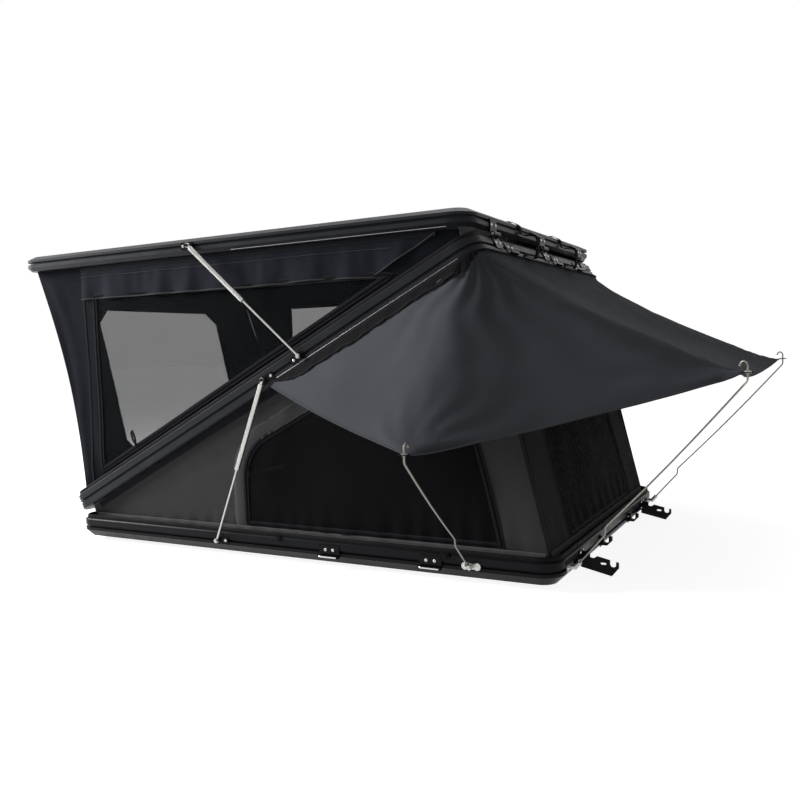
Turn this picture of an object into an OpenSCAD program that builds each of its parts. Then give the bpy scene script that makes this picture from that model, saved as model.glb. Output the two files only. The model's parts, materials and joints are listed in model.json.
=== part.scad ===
/* [Shells] */
// Length of each shell frame, rear to front
shell_length = 2170; // [1900:10:2500]
// Width of each shell frame
shell_width = 1520; // [1400:10:1800]
// Height of the frame extrusion
rim_height = 66; // [60:1:90]
// Depth of the frame extrusion, outside to inside
rim_width = 46; // [45:1:47]
// Wall of the frame extrusion
rim_wall = 2.5; // [1.5:0.1:3]
// Corner radius of the frames in plan, at the front
corner_radius = 80; // [66:1:120]
// Corner radius of the frames in plan, at the rear
rear_corner_radius = 58; // [58:1:100]
// Chamfer along the lower outer edge of the base
base_chamfer = 30; // [20:1:32]
// How far the base frame reaches below its ledge
base_skirt = 14; // [10:1:18]
// Width of the bevel along the upper edge of the roof
roof_bevel = 33; // [20:1:36]
// Height of the bevel along the upper edge of the roof
roof_bevel_height = 17; // [8:1:18]
// Chamfer along the lower outer edge of the roof
roof_chamfer = 14; // [6:1:18]
// Small chamfer on the other outer edges
small_chamfer = 4; // [2:0.5:6]
// Gap between two closed shells, filled by the seal
shell_gap = 20; // [18:1:26]
// Width of the ledge that carries a panel
ledge_width = 10; // [8:1:11]
// Thickness of the ledge that carries a panel
ledge_thickness = 3; // [2:0.5:4]
// Mouth of the groove along the outer face
groove_mouth = 11; // [6:0.5:12]
// Height of the groove behind its lips
groove_cavity = 16; // [14:0.5:18]
// Lip of the groove
groove_lip = 3; // [2:0.5:4]
// Depth of the groove behind its lips
groove_depth = 8; // [6:0.5:10]

/* [Panels] */
// Thickness of a panel's light core
panel_core = 22; // [15:1:25]
// Thickness of a panel's metal skin
panel_skin = 1; // [0.8:0.1:1.5]
// Gap between a panel's edge and the frame
panel_clearance = 0.3; // [0.2:0.1:1]
// Width of a mounting rail under the floor
mount_rail_width = 60; // [50:1:80]
// Distance from the underside of the rails to the base frame
mount_rail_drop = 30; // [20:1:40]
// Wall of a mounting rail
mount_rail_wall = 3; // [2:0.5:4]
// Length of a mounting rail
mount_rail_length = 1900; // [1500:10:1950]
// Distance between the mounting rails
mount_spacing_y = 760; // [600:10:900]
// Distance between the mounting holes along a rail
mount_spacing_x = 900; // [700:10:1200]
// Radius of a mounting hole
mount_hole_radius = 4.5; // [3:0.1:6]

/* [Seal and mattress] */
// Width of the rubber seal
seal_width = 12; // [8:1:14]
// Height of the rubber seal
seal_height = 16; // [12:0.5:17]
// Distance of the seal's middle from the outer face
seal_inset = 15; // [12:0.5:18]
// Gap between the mattress and the frame
mattress_margin = 50; // [30:1:90]
// Height of the mattress at its crown
mattress_height = 75; // [50:1:90]
// How far the mattress sides draw in between their edges
mattress_waist = 9; // [4:1:14]
// Corner radius of the mattress
mattress_corner = 90; // [70:1:150]
// Gap between soft pieces and what they lie against
cloth_clearance = 0.3; // [0.2:0.05:0.5]

/* [Opening] */
// Angle between the base and the middle frame
lower_angle = 27.4; // [24:0.1:32]
// Angle between the middle frame and the roof
upper_angle = 27.1; // [24:0.1:32]
// Distance of the hinge axes from the end faces
hinge_offset = 12; // [11:0.5:16]

/* [Hinges] */
// Width of a hinge
hinge_width = 60; // [48:1:80]
// Width of a hinge's centre knuckle
knuckle_width = 22; // [16:1:28]
// Radius of a hinge knuckle
knuckle_radius = 8.5; // [7:0.1:8.8]
// Radius of a hinge pin
hinge_pin_radius = 4; // [3:0.1:5]
// Running clearance of pins in their bores
pin_clearance = 0.05; // [0.02:0.01:0.1]
// Thickness of a hinge plate
hinge_plate = 4; // [3:0.5:6]
// Height of a hinge plate on its frame
hinge_plate_height = 42; // [30:1:46]
// Distance from the middle hinge to an outer hinge
hinge_spacing = 545; // [400:5:620]
// Side gap between knuckles
knuckle_gap = 0.5; // [0.3:0.1:1]

/* [Gas struts] */
// Lower strut's foot on the base, along the frame
lower_foot_x = -302; // [-340:1:-280]
// Lower strut's head on the middle frame, along the frame
lower_head_x = 106; // [95:1:130]
// Upper strut's foot on the middle frame, along the frame
upper_foot_x = 295; // [285:1:320]
// Upper strut's head on the roof, along the frame
upper_head_x = -103; // [-130:1:-95]
// Distance from a strut's middle to the outer face
strut_offset = 16; // [15:0.5:20]
// Outer radius of a strut's tube
strut_tube_radius = 10; // [9:0.5:11]
// Wall of a strut's tube
strut_tube_wall = 1.5; // [1:0.1:2]
// Radius of a strut's rod
strut_rod_radius = 4; // [3:0.1:5]
// From the lower strut's head to the end of its tube
lower_tube_reach = 372; // [360:1:376]
// From the upper strut's head to the end of its tube
upper_tube_reach = 349; // [340:1:362]
// Length of the rod guide that closes a tube
strut_guide = 14; // [10:1:18]
// Gap between a strut's piston and its tube
piston_gap = 0.3; // [0.2:0.1:0.5]
// Radius of a strut's eye
strut_eye_radius = 9; // [8:0.5:10]
// Width of a strut's eye
strut_eye_width = 12; // [10:0.5:14]
// Radius of a strut's stud
strut_stud_radius = 4; // [3:0.1:5]
// Gap between a loose stud and its bracket plate
stud_gap = 0.3; // [0.2:0.1:0.5]
// Length of a strut bracket
bracket_length = 62; // [50:1:80]
// Height of a strut bracket
bracket_height = 30; // [24:1:34]
// Thickness of fitting plates
fitting_plate = 3; // [2:0.5:4]

/* [Fittings] */
// First side hook plate, along the base
side_hook_first = 217; // [180:1:260]
// Second side hook plate, along the base
side_hook_second = 630; // [560:1:680]
// Width of a hook plate
hook_plate_width = 85; // [60:1:100]
// Height of a hook plate
hook_plate_height = 46; // [38:1:48]
// How far a hook plate's lip stands out
hook_lip = 15; // [10:1:20]
// Front hook's distance from the middle line
front_hook_y = 230; // [180:1:300]
// Width of a front hook's foot
front_hook_foot = 32; // [24:1:40]
// Width of a front hook
front_hook_width = 14; // [10:1:20]
// How far a front hook stands out
front_hook_reach = 44; // [40:1:56]
// Radius of the notch in a front hook
front_hook_notch = 9; // [7:0.5:10]
// Accessory arm's distance from the middle line
arm_y = 500; // [450:1:520]
// Thickness of an accessory arm
arm_thickness = 7; // [5:0.5:9]
// How far an accessory arm stands out
arm_reach = 131; // [120:1:160]
// Length of an accessory arm's mounting foot
arm_foot = 52; // [44:1:62]
// Latch plate's distance from its hinge
latch_offset = 115; // [90:1:140]
// Closing strap's distance from the middle line
strap_y = 240; // [200:1:300]
// Width of a closing strap
strap_width = 38; // [25:1:50]
// Thickness of a closing strap
strap_thickness = 2; // [1.5:0.1:3]

/* [Fabric] */
// Thickness of the wall fabric
cloth = 2.5; // [1.5:0.1:3]
// Distance of the walls' middle from the frames' outer face
wall_inset = 43; // [38:0.5:44]
// How far the rear wall is drawn in
rear_draw = 48; // [20:1:60]
// Rear edge of the side door, along the base
door_rear = -185; // [-230:1:-120]
// Height of the side door's sill above the base
door_sill = 24; // [15:1:40]
// Distance of the side door from the front wall
door_front_margin = 155; // [120:1:200]
// Distance of the side door from the middle frame
door_top_margin = 58; // [40:1:80]
// Radius of the side door's rear corner
door_arch = 300; // [200:5:320]
// Rear margin of the side window
window_rear_margin = 115; // [90:1:140]
// Margin of the side window above the middle frame
window_low_margin = 45; // [30:1:60]
// Margin of the side window below the roof
window_top_margin = 148; // [130:1:180]
// Width of the rear and front windows
end_window_width = 870; // [600:10:1000]
// Margin of the end windows along their top edges
end_window_top = 146; // [100:1:180]
// Margin of the rear window above the middle frame
rear_window_low = 140; // [100:1:200]
// Margin of the front window above the base
front_window_low = 24; // [15:1:60]
// Corner radius of the end windows
end_window_corner = 70; // [40:1:100]
// Height of the cover that hangs over the side windows
cover_drop = 140; // [100:1:145]
// Depth of the waves in the hanging cover
cover_wave = 6; // [3:0.5:6]
// Distance of the hanging cover from the wall
cover_offset = 10.5; // [10:0.5:12]

/* [Awning] */
// Rear end of the awning, along the middle frame
awning_start = 145; // [135:1:180]
// Awning's front edge ahead of the middle frame
awning_front = 801; // [600:1:900]
// Awning's front edge below the middle frame's front edge
awning_front_drop = 409; // [300:1:420]
// How far the awning's front corners stand out past the frame
awning_front_spread = 44; // [20:1:120]
// Awning's side corners out from the frame
awning_side = 540; // [400:5:600]
// Awning's side corners below the middle frame's front edge
awning_side_drop = 606; // [560:1:640]
// Awning's side corners ahead of the middle frame's front edge
awning_side_ahead = -6; // [-30:1:60]
// Sag of the awning between frame and edge
awning_sag = 22; // [10:1:30]
// Radius of a corner disc
tab_radius = 16; // [12:0.5:20]
// Thickness of a corner disc
tab_thickness = 3; // [2:0.5:4]
// Radius of a pole
pole_radius = 3; // [2.6:0.1:4]
// Gap round a pole in its socket and disc
pole_clearance = 0.3; // [0.2:0.05:0.5]
// Straight run of a pole above its socket
pole_foot = 170; // [140:1:200]
// Sideways jog in a pole
pole_jog = 16; // [14:1:24]
// Length of a pole's bends
pole_bend = 8; // [4:0.5:10]
// Bow of a pole's long run
pole_bow = 6; // [0:1:40]
// Depth of a pole in its socket
socket_depth = 28; // [20:1:34]
// Outer radius of a pole socket
socket_radius = 8; // [7:0.5:10]
// Distance of a socket's floor from the outer face
socket_offset = 20; // [18:1:26]
// Side pole socket, along the base
side_socket_x = 782; // [700:1:840]
// Front pole socket's distance from the side face
front_socket_inset = 120; // [90:1:140]

/* [Hidden] */
$fn = 32;
half_length = shell_length / 2;
half_width = shell_width / 2;
side_run = shell_length - corner_radius - rear_corner_radius;
base_face = base_chamfer - base_skirt;
groove_middle = rim_height / 2;
groove_back = groove_lip + groove_depth;
base_z = mount_rail_drop;
base_top = base_z + rim_height;
middle_z = base_top + shell_gap;
middle_top = middle_z + rim_height;
roof_z = middle_top + shell_gap;
rear_axis = [-half_length - hinge_offset, base_top + shell_gap / 2];
front_axis = [half_length + hinge_offset, middle_top + shell_gap / 2];
panel_thickness = panel_core + 2 * panel_skin;
floor_z = base_z + ledge_thickness;
roof_panel_z = roof_z + rim_height - ledge_thickness - panel_thickness;
wall_x = half_length - wall_inset;
wall_y = half_width - wall_inset;
strut_y = half_width + strut_offset;
lower_foot = [lower_foot_x, base_z + groove_middle];
lower_head = [lower_head_x, middle_z + groove_middle];
upper_foot = [upper_foot_x, middle_z + groove_middle];
upper_head = [upper_head_x, roof_z + groove_middle];
hinge_rows = [-hinge_spacing, 0, hinge_spacing];
eye_to_tube = 2 * strut_eye_radius;
strut_piston = 10;
piston_start = 40;
plate_corner = 6;
stud_head = 2;

// Points in the side view are [x, z]
function turned(p, c, a) = [
  c.x + (p.x - c.x) * cos(a) - (p.y - c.y) * sin(a),
  c.y + (p.x - c.x) * sin(a) + (p.y - c.y) * cos(a)
];
function on_middle(p) = turned(p, rear_axis, lower_angle);
function on_roof(p) = on_middle(turned(p, front_axis, -upper_angle));
function mix(a, b, t) = a + (b - a) * t;
function unit(v) = v / norm(v);
function arc(c, r, a0, a1, n) = [
  for (i = [0 : n])
    let (a = mix(a0, a1, i / n))
    c + r * [cos(a), sin(a)]
];

// The middle frame is drawn closed and then lifted about the rear hinge
module lift_middle() {
  translate([rear_axis.x, 0, rear_axis.y])
    rotate([0, -lower_angle, 0])
      translate([-rear_axis.x, 0, -rear_axis.y])
        children();
}

// The roof is drawn closed and then lifted with the middle frame and about the front hinge
module lift_roof() {
  lift_middle()
    translate([front_axis.x, 0, front_axis.y])
      rotate([0, upper_angle, 0])
        translate([-front_axis.x, 0, -front_axis.y])
          children();
}

// A side view outline, made solid from y0 to y1
module side_slab(y0, y1) {
  translate([0, y1, 0])
    rotate([90, 0, 0])
      linear_extrude(y1 - y0)
        children();
}

// The same piece on the near side and on the far side
module both_sides() {
  children();
  mirror([0, 1, 0]) children();
}

// Section of the frame extrusion: x outward from the outer face, y up.
// A chamfer is [width, height]; foot is the height of the lower edge.
function rim_outline(foot, low, high) = [
  [-rim_width, foot], [-low.x, foot], [0, foot + low.y],
  [0, groove_middle - groove_mouth / 2], [-groove_lip, groove_middle - groove_mouth / 2],
  [-groove_lip, groove_middle - groove_cavity / 2], [-groove_back, groove_middle - groove_cavity / 2],
  [-groove_back, groove_middle + groove_cavity / 2], [-groove_lip, groove_middle + groove_cavity / 2],
  [-groove_lip, groove_middle + groove_mouth / 2], [0, groove_middle + groove_mouth / 2],
  [0, rim_height - high.y], [-high.x, rim_height], [-rim_width, rim_height]
];

// Chamber inside the extrusion, one wall away from the outline
function inner_width(c) = c.x + rim_wall * (norm(c) - c.x) / c.y;
function inner_height(c) = c.y + rim_wall * (norm(c) - c.y) / c.x;
function rim_chamber(foot, low, high) = [
  [-rim_width + rim_wall, foot + rim_wall], [-inner_width(low), foot + rim_wall],
  [-rim_wall, foot + inner_height(low)],
  [-rim_wall, groove_middle - groove_cavity / 2 - rim_wall],
  [-groove_back - rim_wall, groove_middle - groove_cavity / 2 - rim_wall],
  [-groove_back - rim_wall, groove_middle + groove_cavity / 2 + rim_wall],
  [-rim_wall, groove_middle + groove_cavity / 2 + rim_wall],
  [-rim_wall, rim_height - inner_height(high)], [-inner_width(high), rim_height - rim_wall],
  [-rim_width + rim_wall, rim_height - rim_wall]
];

module rim_section(foot, low, high) {
  difference() {
    polygon(rim_outline(foot, low, high));
    polygon(rim_chamber(foot, low, high));
  }
}

module ledge_section() {
  translate([-rim_width - ledge_width, 0])
    square([ledge_width + rim_wall / 2, ledge_thickness]);
}

module base_section() {
  rim_section(-base_skirt, base_chamfer * [1, 1], small_chamfer * [1, 1]);
  ledge_section();
}

module middle_section() {
  rim_section(0, small_chamfer * [1, 1], small_chamfer * [1, 1]);
}

module roof_section() {
  rim_section(0, roof_chamfer * [1, 1], [roof_bevel, roof_bevel_height]);
  translate([0, rim_height - ledge_thickness]) ledge_section();
}

module seal_section() {
  translate([-seal_inset - seal_width / 2, rim_height])
    square([seal_width, seal_height - seal_width / 2]);
  translate([-seal_inset, rim_height + seal_height - seal_width / 2])
    circle(d = seal_width);
}

// Straight runs and corners of a ring that follows the frame's outer face
module ring_sides() {
  both_sides()
    translate([rear_corner_radius - half_length, half_width, 0])
      rotate([90, 0, 90])
        linear_extrude(side_run)
          children();
}

module ring_ends() {
  for (e = [[90, rear_corner_radius], [270, corner_radius]])
    rotate(e.x)
      translate([e.y - half_width, half_length, 0])
        rotate([90, 0, 90])
          linear_extrude(shell_width - 2 * e.y)
            children();
}

module ring_corners() {
  for (q = [[1, 1, 0], [-1, 1, 90], [-1, -1, 180], [1, -1, 270]]) {
    radius = q.x > 0 ? corner_radius : rear_corner_radius;
    translate([q.x * (half_length - radius), q.y * (half_width - radius), 0])
      rotate(q.z)
        rotate_extrude(angle = 90)
          translate([radius, 0])
            children();
  }
}

module round_rectangle(x, y, r) {
  square([x - 2 * r, y], center = true);
  square([x, y - 2 * r], center = true);
  for (sx = [-1, 1], sy = [-1, 1])
    translate([sx * (x / 2 - r), sy * (y / 2 - r)]) circle(r);
}

module panel_outline() {
  edge = rim_width + panel_clearance;
  width = shell_width - 2 * edge;
  length = shell_length - 2 * edge;
  round_rectangle(length, width, corner_radius - edge);
  translate([-length / 4, 0])
    round_rectangle(length / 2, width, rear_corner_radius - edge);
}

module panel_core_at(z) {
  translate([0, 0, z + panel_skin]) linear_extrude(panel_core) panel_outline();
}

module panel_skins_at(z) {
  for (lift = [0, panel_skin + panel_core])
    translate([0, 0, z + lift]) linear_extrude(panel_skin) panel_outline();
}

// Base frame
module base_side_rails() {
  color("#2e2f33") translate([0, 0, base_z]) ring_sides() base_section();
}

module base_end_rails() {
  color("#2e2f33") translate([0, 0, base_z]) ring_ends() base_section();
}

module base_corners() {
  color("#2e2f33") translate([0, 0, base_z]) ring_corners() base_section();
}

module seal_ring() {
  ring_sides() seal_section();
  ring_ends() seal_section();
  ring_corners() seal_section();
}

module base_seal() {
  color("#151516") translate([0, 0, base_z]) seal_ring();
}

module floor_core() {
  color("#c9c9c4") panel_core_at(floor_z);
}

module floor_skins() {
  color("#9fa1a4") panel_skins_at(floor_z);
}

// Mattress: rings of a rounded rectangle, each with its inset and height
mattress_arc = 5;
mattress_rings = [
  [0.028, 0], [0.006, 0.1], [0, 0.22], [0, 0.3], [1, 0.5], [0, 0.7], [0, 0.78], [0.006, 0.86],
  [0.03, 0.93], [0.1, 0.965], [0.24, 0.99], [0.4, 1]
];
mattress_x = shell_length - 2 * (rim_width + mattress_margin);
mattress_y = shell_width - 2 * (rim_width + mattress_margin);
function mattress_inset(k) = k == 1 ? mattress_waist : k * mattress_y;
function mattress_ring(inset, z) = [
  for (q = [0 : 3], i = [0 : mattress_arc])
    let (
      a = 90 * (q + i / mattress_arc),
      sx = (q == 0 || q == 3) ? 1 : -1,
      sy = q < 2 ? 1 : -1,
      r = mattress_corner * (1 - inset / mattress_y)
    )
    [
      sx * (mattress_x / 2 - inset - r) + r * cos(a),
      sy * (mattress_y / 2 - inset - r) + r * sin(a),
      z
    ]
];

// A closed solid through rings of equal point counts
function ring_band(n, k) = [
  for (i = [0 : n - 1])
    let (a = k * n + i, b = k * n + (i + 1) % n)
    each [[a, a + n, b], [b, a + n, b + n]]
];
function ring_faces(n, count) = concat(
  [[for (i = [0 : n - 1]) i]],
  [for (k = [0 : count - 2]) each ring_band(n, k)],
  [[for (i = [n - 1 : -1 : 0]) (count - 1) * n + i]]
);

module mattress() {
  rings = [for (r = mattress_rings) mattress_ring(mattress_inset(r[0]), r[1] * mattress_height)];
  color("#6d7076")
    translate([0, 0, floor_z + panel_thickness + cloth_clearance])
      polyhedron(
        [for (r = rings) each r],
        ring_faces(4 * (mattress_arc + 1), len(rings)),
        convexity = 4
      );
}

// Mounting rails under the floor
module mounting_rails() {
  rail_height = floor_z;
  color("#8d9094")
    for (sy = [-1, 1])
      translate([0, sy * mount_spacing_y / 2, 0])
        difference() {
          translate([-mount_rail_length / 2, 0, 0])
            rotate([90, 0, 90])
              linear_extrude(mount_rail_length)
                difference() {
                  translate([-mount_rail_width / 2, 0]) square([mount_rail_width, rail_height]);
                  translate([mount_rail_wall - mount_rail_width / 2, mount_rail_wall])
                    square([mount_rail_width - 2 * mount_rail_wall, rail_height - 2 * mount_rail_wall]);
                }
          for (sx = [-1, 1])
            translate([sx * mount_spacing_x / 2, 0, -mount_rail_wall])
              cylinder(h = 3 * mount_rail_wall, r = mount_hole_radius);
        }
}

// Hinge leaves: axis along Y at the origin, frame face at x = hinge_offset, leaf below the axis
module knuckle(y0, y1) {
  translate([0, y1, 0])
    rotate([90, 0, 0])
      difference() {
        union() {
          cylinder(h = y1 - y0, r = knuckle_radius);
          translate([0, -knuckle_radius - 1, 0])
            cube([hinge_offset, knuckle_radius + 1, y1 - y0]);
        }
        translate([0, 0, -1]) cylinder(h = y1 - y0 + 2, r = hinge_pin_radius + pin_clearance);
      }
}

module hinge_leaf(spans) {
  plate_top = -knuckle_radius - 0.5;
  translate([hinge_offset - hinge_plate, -hinge_width / 2, -shell_gap / 2 - hinge_plate_height])
    cube([hinge_plate, hinge_width, hinge_plate_height + shell_gap / 2 + plate_top]);
  for (s = spans)
    knuckle(s[0], s[1]);
}

module outer_leaf() {
  start = knuckle_width / 2 + knuckle_gap;
  hinge_leaf([[-hinge_width / 2, -start], [start, hinge_width / 2]]);
}

module centre_leaf() {
  mirror([0, 0, 1]) hinge_leaf([[-knuckle_width / 2, knuckle_width / 2]]);
}

module hinge_pin() {
  rotate([90, 0, 0]) {
    cylinder(h = hinge_width, r = hinge_pin_radius, center = true);
    for (s = [-1, 1])
      translate([0, 0, s * (hinge_width / 2 + 1)])
        cylinder(h = 2, r = hinge_pin_radius + 1.5, center = true);
  }
}

module at_rear_axis() {
  for (y = hinge_rows)
    translate([rear_axis.x, y, rear_axis.y]) children();
}

module at_front_axis() {
  for (y = hinge_rows)
    translate([front_axis.x, y, front_axis.y]) mirror([1, 0, 0]) children();
}

module rear_hinge_base_leaves() {
  color("#1b1b1d") at_rear_axis() outer_leaf();
}

module rear_hinge_pins() {
  color("#b9bbbd") at_rear_axis() hinge_pin();
}

module rear_hinge_middle_leaves() {
  color("#1b1b1d") lift_middle() at_rear_axis() centre_leaf();
}

module front_hinge_middle_leaves() {
  color("#1b1b1d") lift_middle() at_front_axis() outer_leaf();
}

module front_hinge_pins() {
  color("#b9bbbd") lift_middle() at_front_axis() hinge_pin();
}

module front_hinge_roof_leaves() {
  color("#1b1b1d") lift_roof() at_front_axis() centre_leaf();
}

// Gas strut brackets: a plate on the outer face, some with the stud that the strut turns on
module strut_plate(p, shift) {
  side_slab(-half_width - fitting_plate, -half_width)
    translate(p + [shift, 0])
      round_rectangle(bracket_length, bracket_height, plate_corner);
}

module strut_stud(p, gap) {
  inner = half_width + fitting_plate + gap;
  outer = strut_y + strut_eye_width / 2;
  side_slab(-outer - stud_head / 2, -inner) translate(p) circle(strut_stud_radius);
  side_slab(-outer - 1.5 * stud_head, -outer - stud_head / 2) translate(p) circle(1.6 * strut_stud_radius);
}

module lower_strut_feet() {
  color("#a9acaf") both_sides() strut_plate(lower_foot, bracket_length / 4);
}

module middle_strut_brackets() {
  color("#a9acaf")
    lift_middle()
      both_sides() {
        strut_plate(lower_head, bracket_length / 4);
        strut_stud(lower_head, 0);
        strut_plate(upper_foot, -bracket_length / 4);
      }
}

module upper_strut_heads() {
  color("#a9acaf")
    lift_roof()
      both_sides() {
        strut_plate(upper_head, -bracket_length / 4);
        strut_stud(upper_head, 0);
      }
}

// Strut pieces lie along +X from the head at the origin
module strut_eye() {
  rotate([90, 0, 0]) cylinder(h = strut_eye_width, r = strut_eye_radius, center = true);
}

module along_x(x0, x1, r) {
  translate([x0, 0, 0]) rotate([0, 90, 0]) cylinder(h = x1 - x0, r = r);
}

module strut_tube(reach) {
  bore_start = eye_to_tube + 2 * strut_tube_wall;
  difference() {
    union() {
      strut_eye();
      along_x(0, eye_to_tube, strut_tube_radius * 0.6);
      along_x(eye_to_tube, reach, strut_tube_radius);
    }
    rotate([90, 0, 0])
      cylinder(h = 2 * strut_eye_width, r = strut_stud_radius + pin_clearance, center = true);
    along_x(bore_start, reach - strut_guide, strut_tube_radius - strut_tube_wall);
    along_x(reach - strut_guide - 1, reach + 1, strut_rod_radius + pin_clearance);
  }
}

module strut_rod(reach, length) {
  inner_end = reach - piston_start;
  along_x(inner_end, length, strut_rod_radius);
  along_x(inner_end, inner_end + strut_piston, strut_tube_radius - strut_tube_wall - piston_gap);
  translate([length, 0, 0]) {
    strut_eye();
    strut_loose_stud();
  }
}

// Stud that stays in the rod's eye and meets its bracket plate at the open pivot
module strut_loose_stud() {
  reach_in = strut_offset - fitting_plate - stud_gap;
  reach_out = strut_eye_width / 2 + stud_head / 2;
  rotate([-90, 0, 0]) {
    translate([0, 0, -reach_out]) cylinder(h = reach_out + reach_in, r = strut_stud_radius);
    translate([0, 0, -reach_out - stud_head]) cylinder(h = stud_head, r = 1.6 * strut_stud_radius);
  }
}

module place_strut(head, foot) {
  translate([head.x, -strut_y, head.y])
    rotate([0, -atan2(foot.y - head.y, foot.x - head.x), 0])
      children();
}

module lower_strut_frame() {
  place_strut(on_middle(lower_head), lower_foot) children();
}

module upper_strut_frame() {
  place_strut(on_roof(upper_head), on_middle(upper_foot)) children();
}

lower_strut_length = norm(on_middle(lower_head) - lower_foot);
upper_strut_length = norm(on_roof(upper_head) - on_middle(upper_foot));

module lower_tube() {
  color("#c2c5c8") lower_strut_frame() strut_tube(lower_tube_reach);
}

module lower_rod() {
  color("#d6d8da") lower_strut_frame() strut_rod(lower_tube_reach, lower_strut_length);
}

module upper_tube() {
  color("#c2c5c8") upper_strut_frame() strut_tube(upper_tube_reach);
}

module upper_rod() {
  color("#d6d8da") upper_strut_frame() strut_rod(upper_tube_reach, upper_strut_length);
}

module lower_tube_near() {
  lower_tube();
}

module lower_tube_far() {
  mirror([0, 1, 0]) lower_tube();
}

module lower_rod_near() {
  lower_rod();
}

module lower_rod_far() {
  mirror([0, 1, 0]) lower_rod();
}

module upper_tube_near() {
  upper_tube();
}

module upper_tube_far() {
  mirror([0, 1, 0]) upper_tube();
}

module upper_rod_near() {
  upper_rod();
}

module upper_rod_far() {
  mirror([0, 1, 0]) upper_rod();
}

// Hook plate: a plate on the outer face whose lower edge turns out and up
module hook_plate_section() {
  lip_height = 10;
  translate([0, -hook_plate_height / 2]) {
    square([fitting_plate, hook_plate_height]);
    square([hook_lip, fitting_plate]);
    translate([hook_lip - fitting_plate, 0]) square([fitting_plate, lip_height]);
  }
}

module hook_plate() {
  translate([-hook_plate_width / 2, 0, 0])
    rotate([90, 0, 90])
      linear_extrude(hook_plate_width)
        hook_plate_section();
}

module side_hook_plates() {
  color("#1d1d1f")
    both_sides()
      for (x = [side_hook_first, side_hook_second])
        translate([x, -half_width, base_z + groove_middle]) mirror([0, 1, 0]) hook_plate();
}

module latch_plates() {
  color("#1d1d1f")
    lift_middle()
      for (y = hinge_rows)
        translate([half_length, y + latch_offset * (y > 0 ? -1 : 1), middle_z + groove_middle])
          rotate(-90)
            hook_plate();
}

// Front hook: a foot on the front face and a cleat with a notch that opens upward
hook_rise = 16;
hook_tail = 18;
module front_hook_profile() {
  notch_x = front_hook_reach / 2 + 1;
  difference() {
    polygon([
      [0, -hook_tail], [0, hook_rise], [front_hook_reach, hook_rise],
      [front_hook_reach, 0], [front_hook_reach - hook_tail, -hook_tail]
    ]);
    translate([notch_x, 0]) {
      circle(front_hook_notch);
      translate([-front_hook_notch, 0]) square([2 * front_hook_notch, 2 * hook_rise]);
    }
  }
}

module front_hooks() {
  color("#1d1d1f")
    for (sy = [-1, 1])
      translate([half_length, sy * front_hook_y, base_z + groove_middle]) {
        side_slab(-front_hook_width / 2, front_hook_width / 2) front_hook_profile();
        translate([0, -front_hook_foot / 2, -hook_plate_height / 2])
          cube([fitting_plate, front_hook_foot, hook_plate_height]);
      }
}

// Accessory arm: a foot on the front face and a plate that reaches forward, with a hump, a slot and a notch
arm_root = 32;
arm_rise = 24;
arm_neck = 8;
arm_crest = 19;
arm_tail = 34;
arm_ramp = 12;
arm_chin = 24;
arm_notch = 10.5;
arm_tip = 9;
arm_slot = [20, 8, 3.9];
arm_fall = 0.22;
function fallen(p) = [p.x, p.y - arm_fall * p.x];
module arm_profile() {
  notch_x = arm_reach - arm_tip - arm_notch;
  hump_x = arm_root + 2 * arm_ramp;
  difference() {
    polygon([
      for (p = [
        [0, -arm_tail], [0, arm_rise], [arm_root, arm_rise], [arm_root, arm_neck],
        [arm_root + arm_ramp, arm_neck], [hump_x, arm_crest], [arm_reach, arm_crest],
        [arm_reach, 0], [arm_reach - arm_chin, -arm_tail]
      ]) fallen(p)
    ]);
    translate(fallen([notch_x, arm_neck])) {
      circle(arm_notch);
      translate([-arm_notch, 0]) square([2 * arm_notch, 2 * arm_crest]);
    }
    translate(fallen([(hump_x + notch_x - arm_notch) / 2, 0]))
      round_rectangle(arm_slot.x, arm_slot.y, arm_slot.z);
  }
}

module accessory_arms() {
  color("#1d1d1f")
    for (sy = [-1, 1])
      translate([half_length, sy * arm_y, base_z + groove_middle]) {
        side_slab(-arm_thickness / 2, arm_thickness / 2) arm_profile();
        translate([0, -arm_foot / 2, base_face - groove_middle])
          cube([fitting_plate, arm_foot, rim_height - base_face - small_chamfer]);
      }
}

// Awning corners, poles and their sockets
awning_edge = on_middle([half_length, middle_z]);
side_corner = [
  awning_edge.x + awning_side_ahead, -half_width - awning_side, awning_edge.y - awning_side_drop
];
front_corner = [
  awning_edge.x + awning_front, -half_width - awning_front_spread, awning_edge.y - awning_front_drop
];
tab_reach = tab_radius + 2 * cloth_clearance;
side_tab = side_corner + tab_reach * [0, -1, 0];
tab_turn = 29.4;
front_tab = front_corner + tab_reach * [cos(tab_turn), -sin(tab_turn), 0];
side_socket = [side_socket_x, -half_width - socket_offset, base_z + groove_middle];
front_socket = [half_length + socket_offset, front_socket_inset - half_width, base_z + groove_middle];
tip_below = 24;
tip_above = 9;
function pole_way(foot, tab) = unit(tab - [0, 0, tip_below] - foot);
side_way = pole_way(side_socket, side_tab);
front_way = pole_way(front_socket, front_tab);

module stick(a, b, r) {
  v = b - a;
  translate(a)
    rotate([0, acos(v.z / norm(v)), atan2(v.y, v.x)])
      cylinder(h = norm(v), r = r);
}

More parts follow.
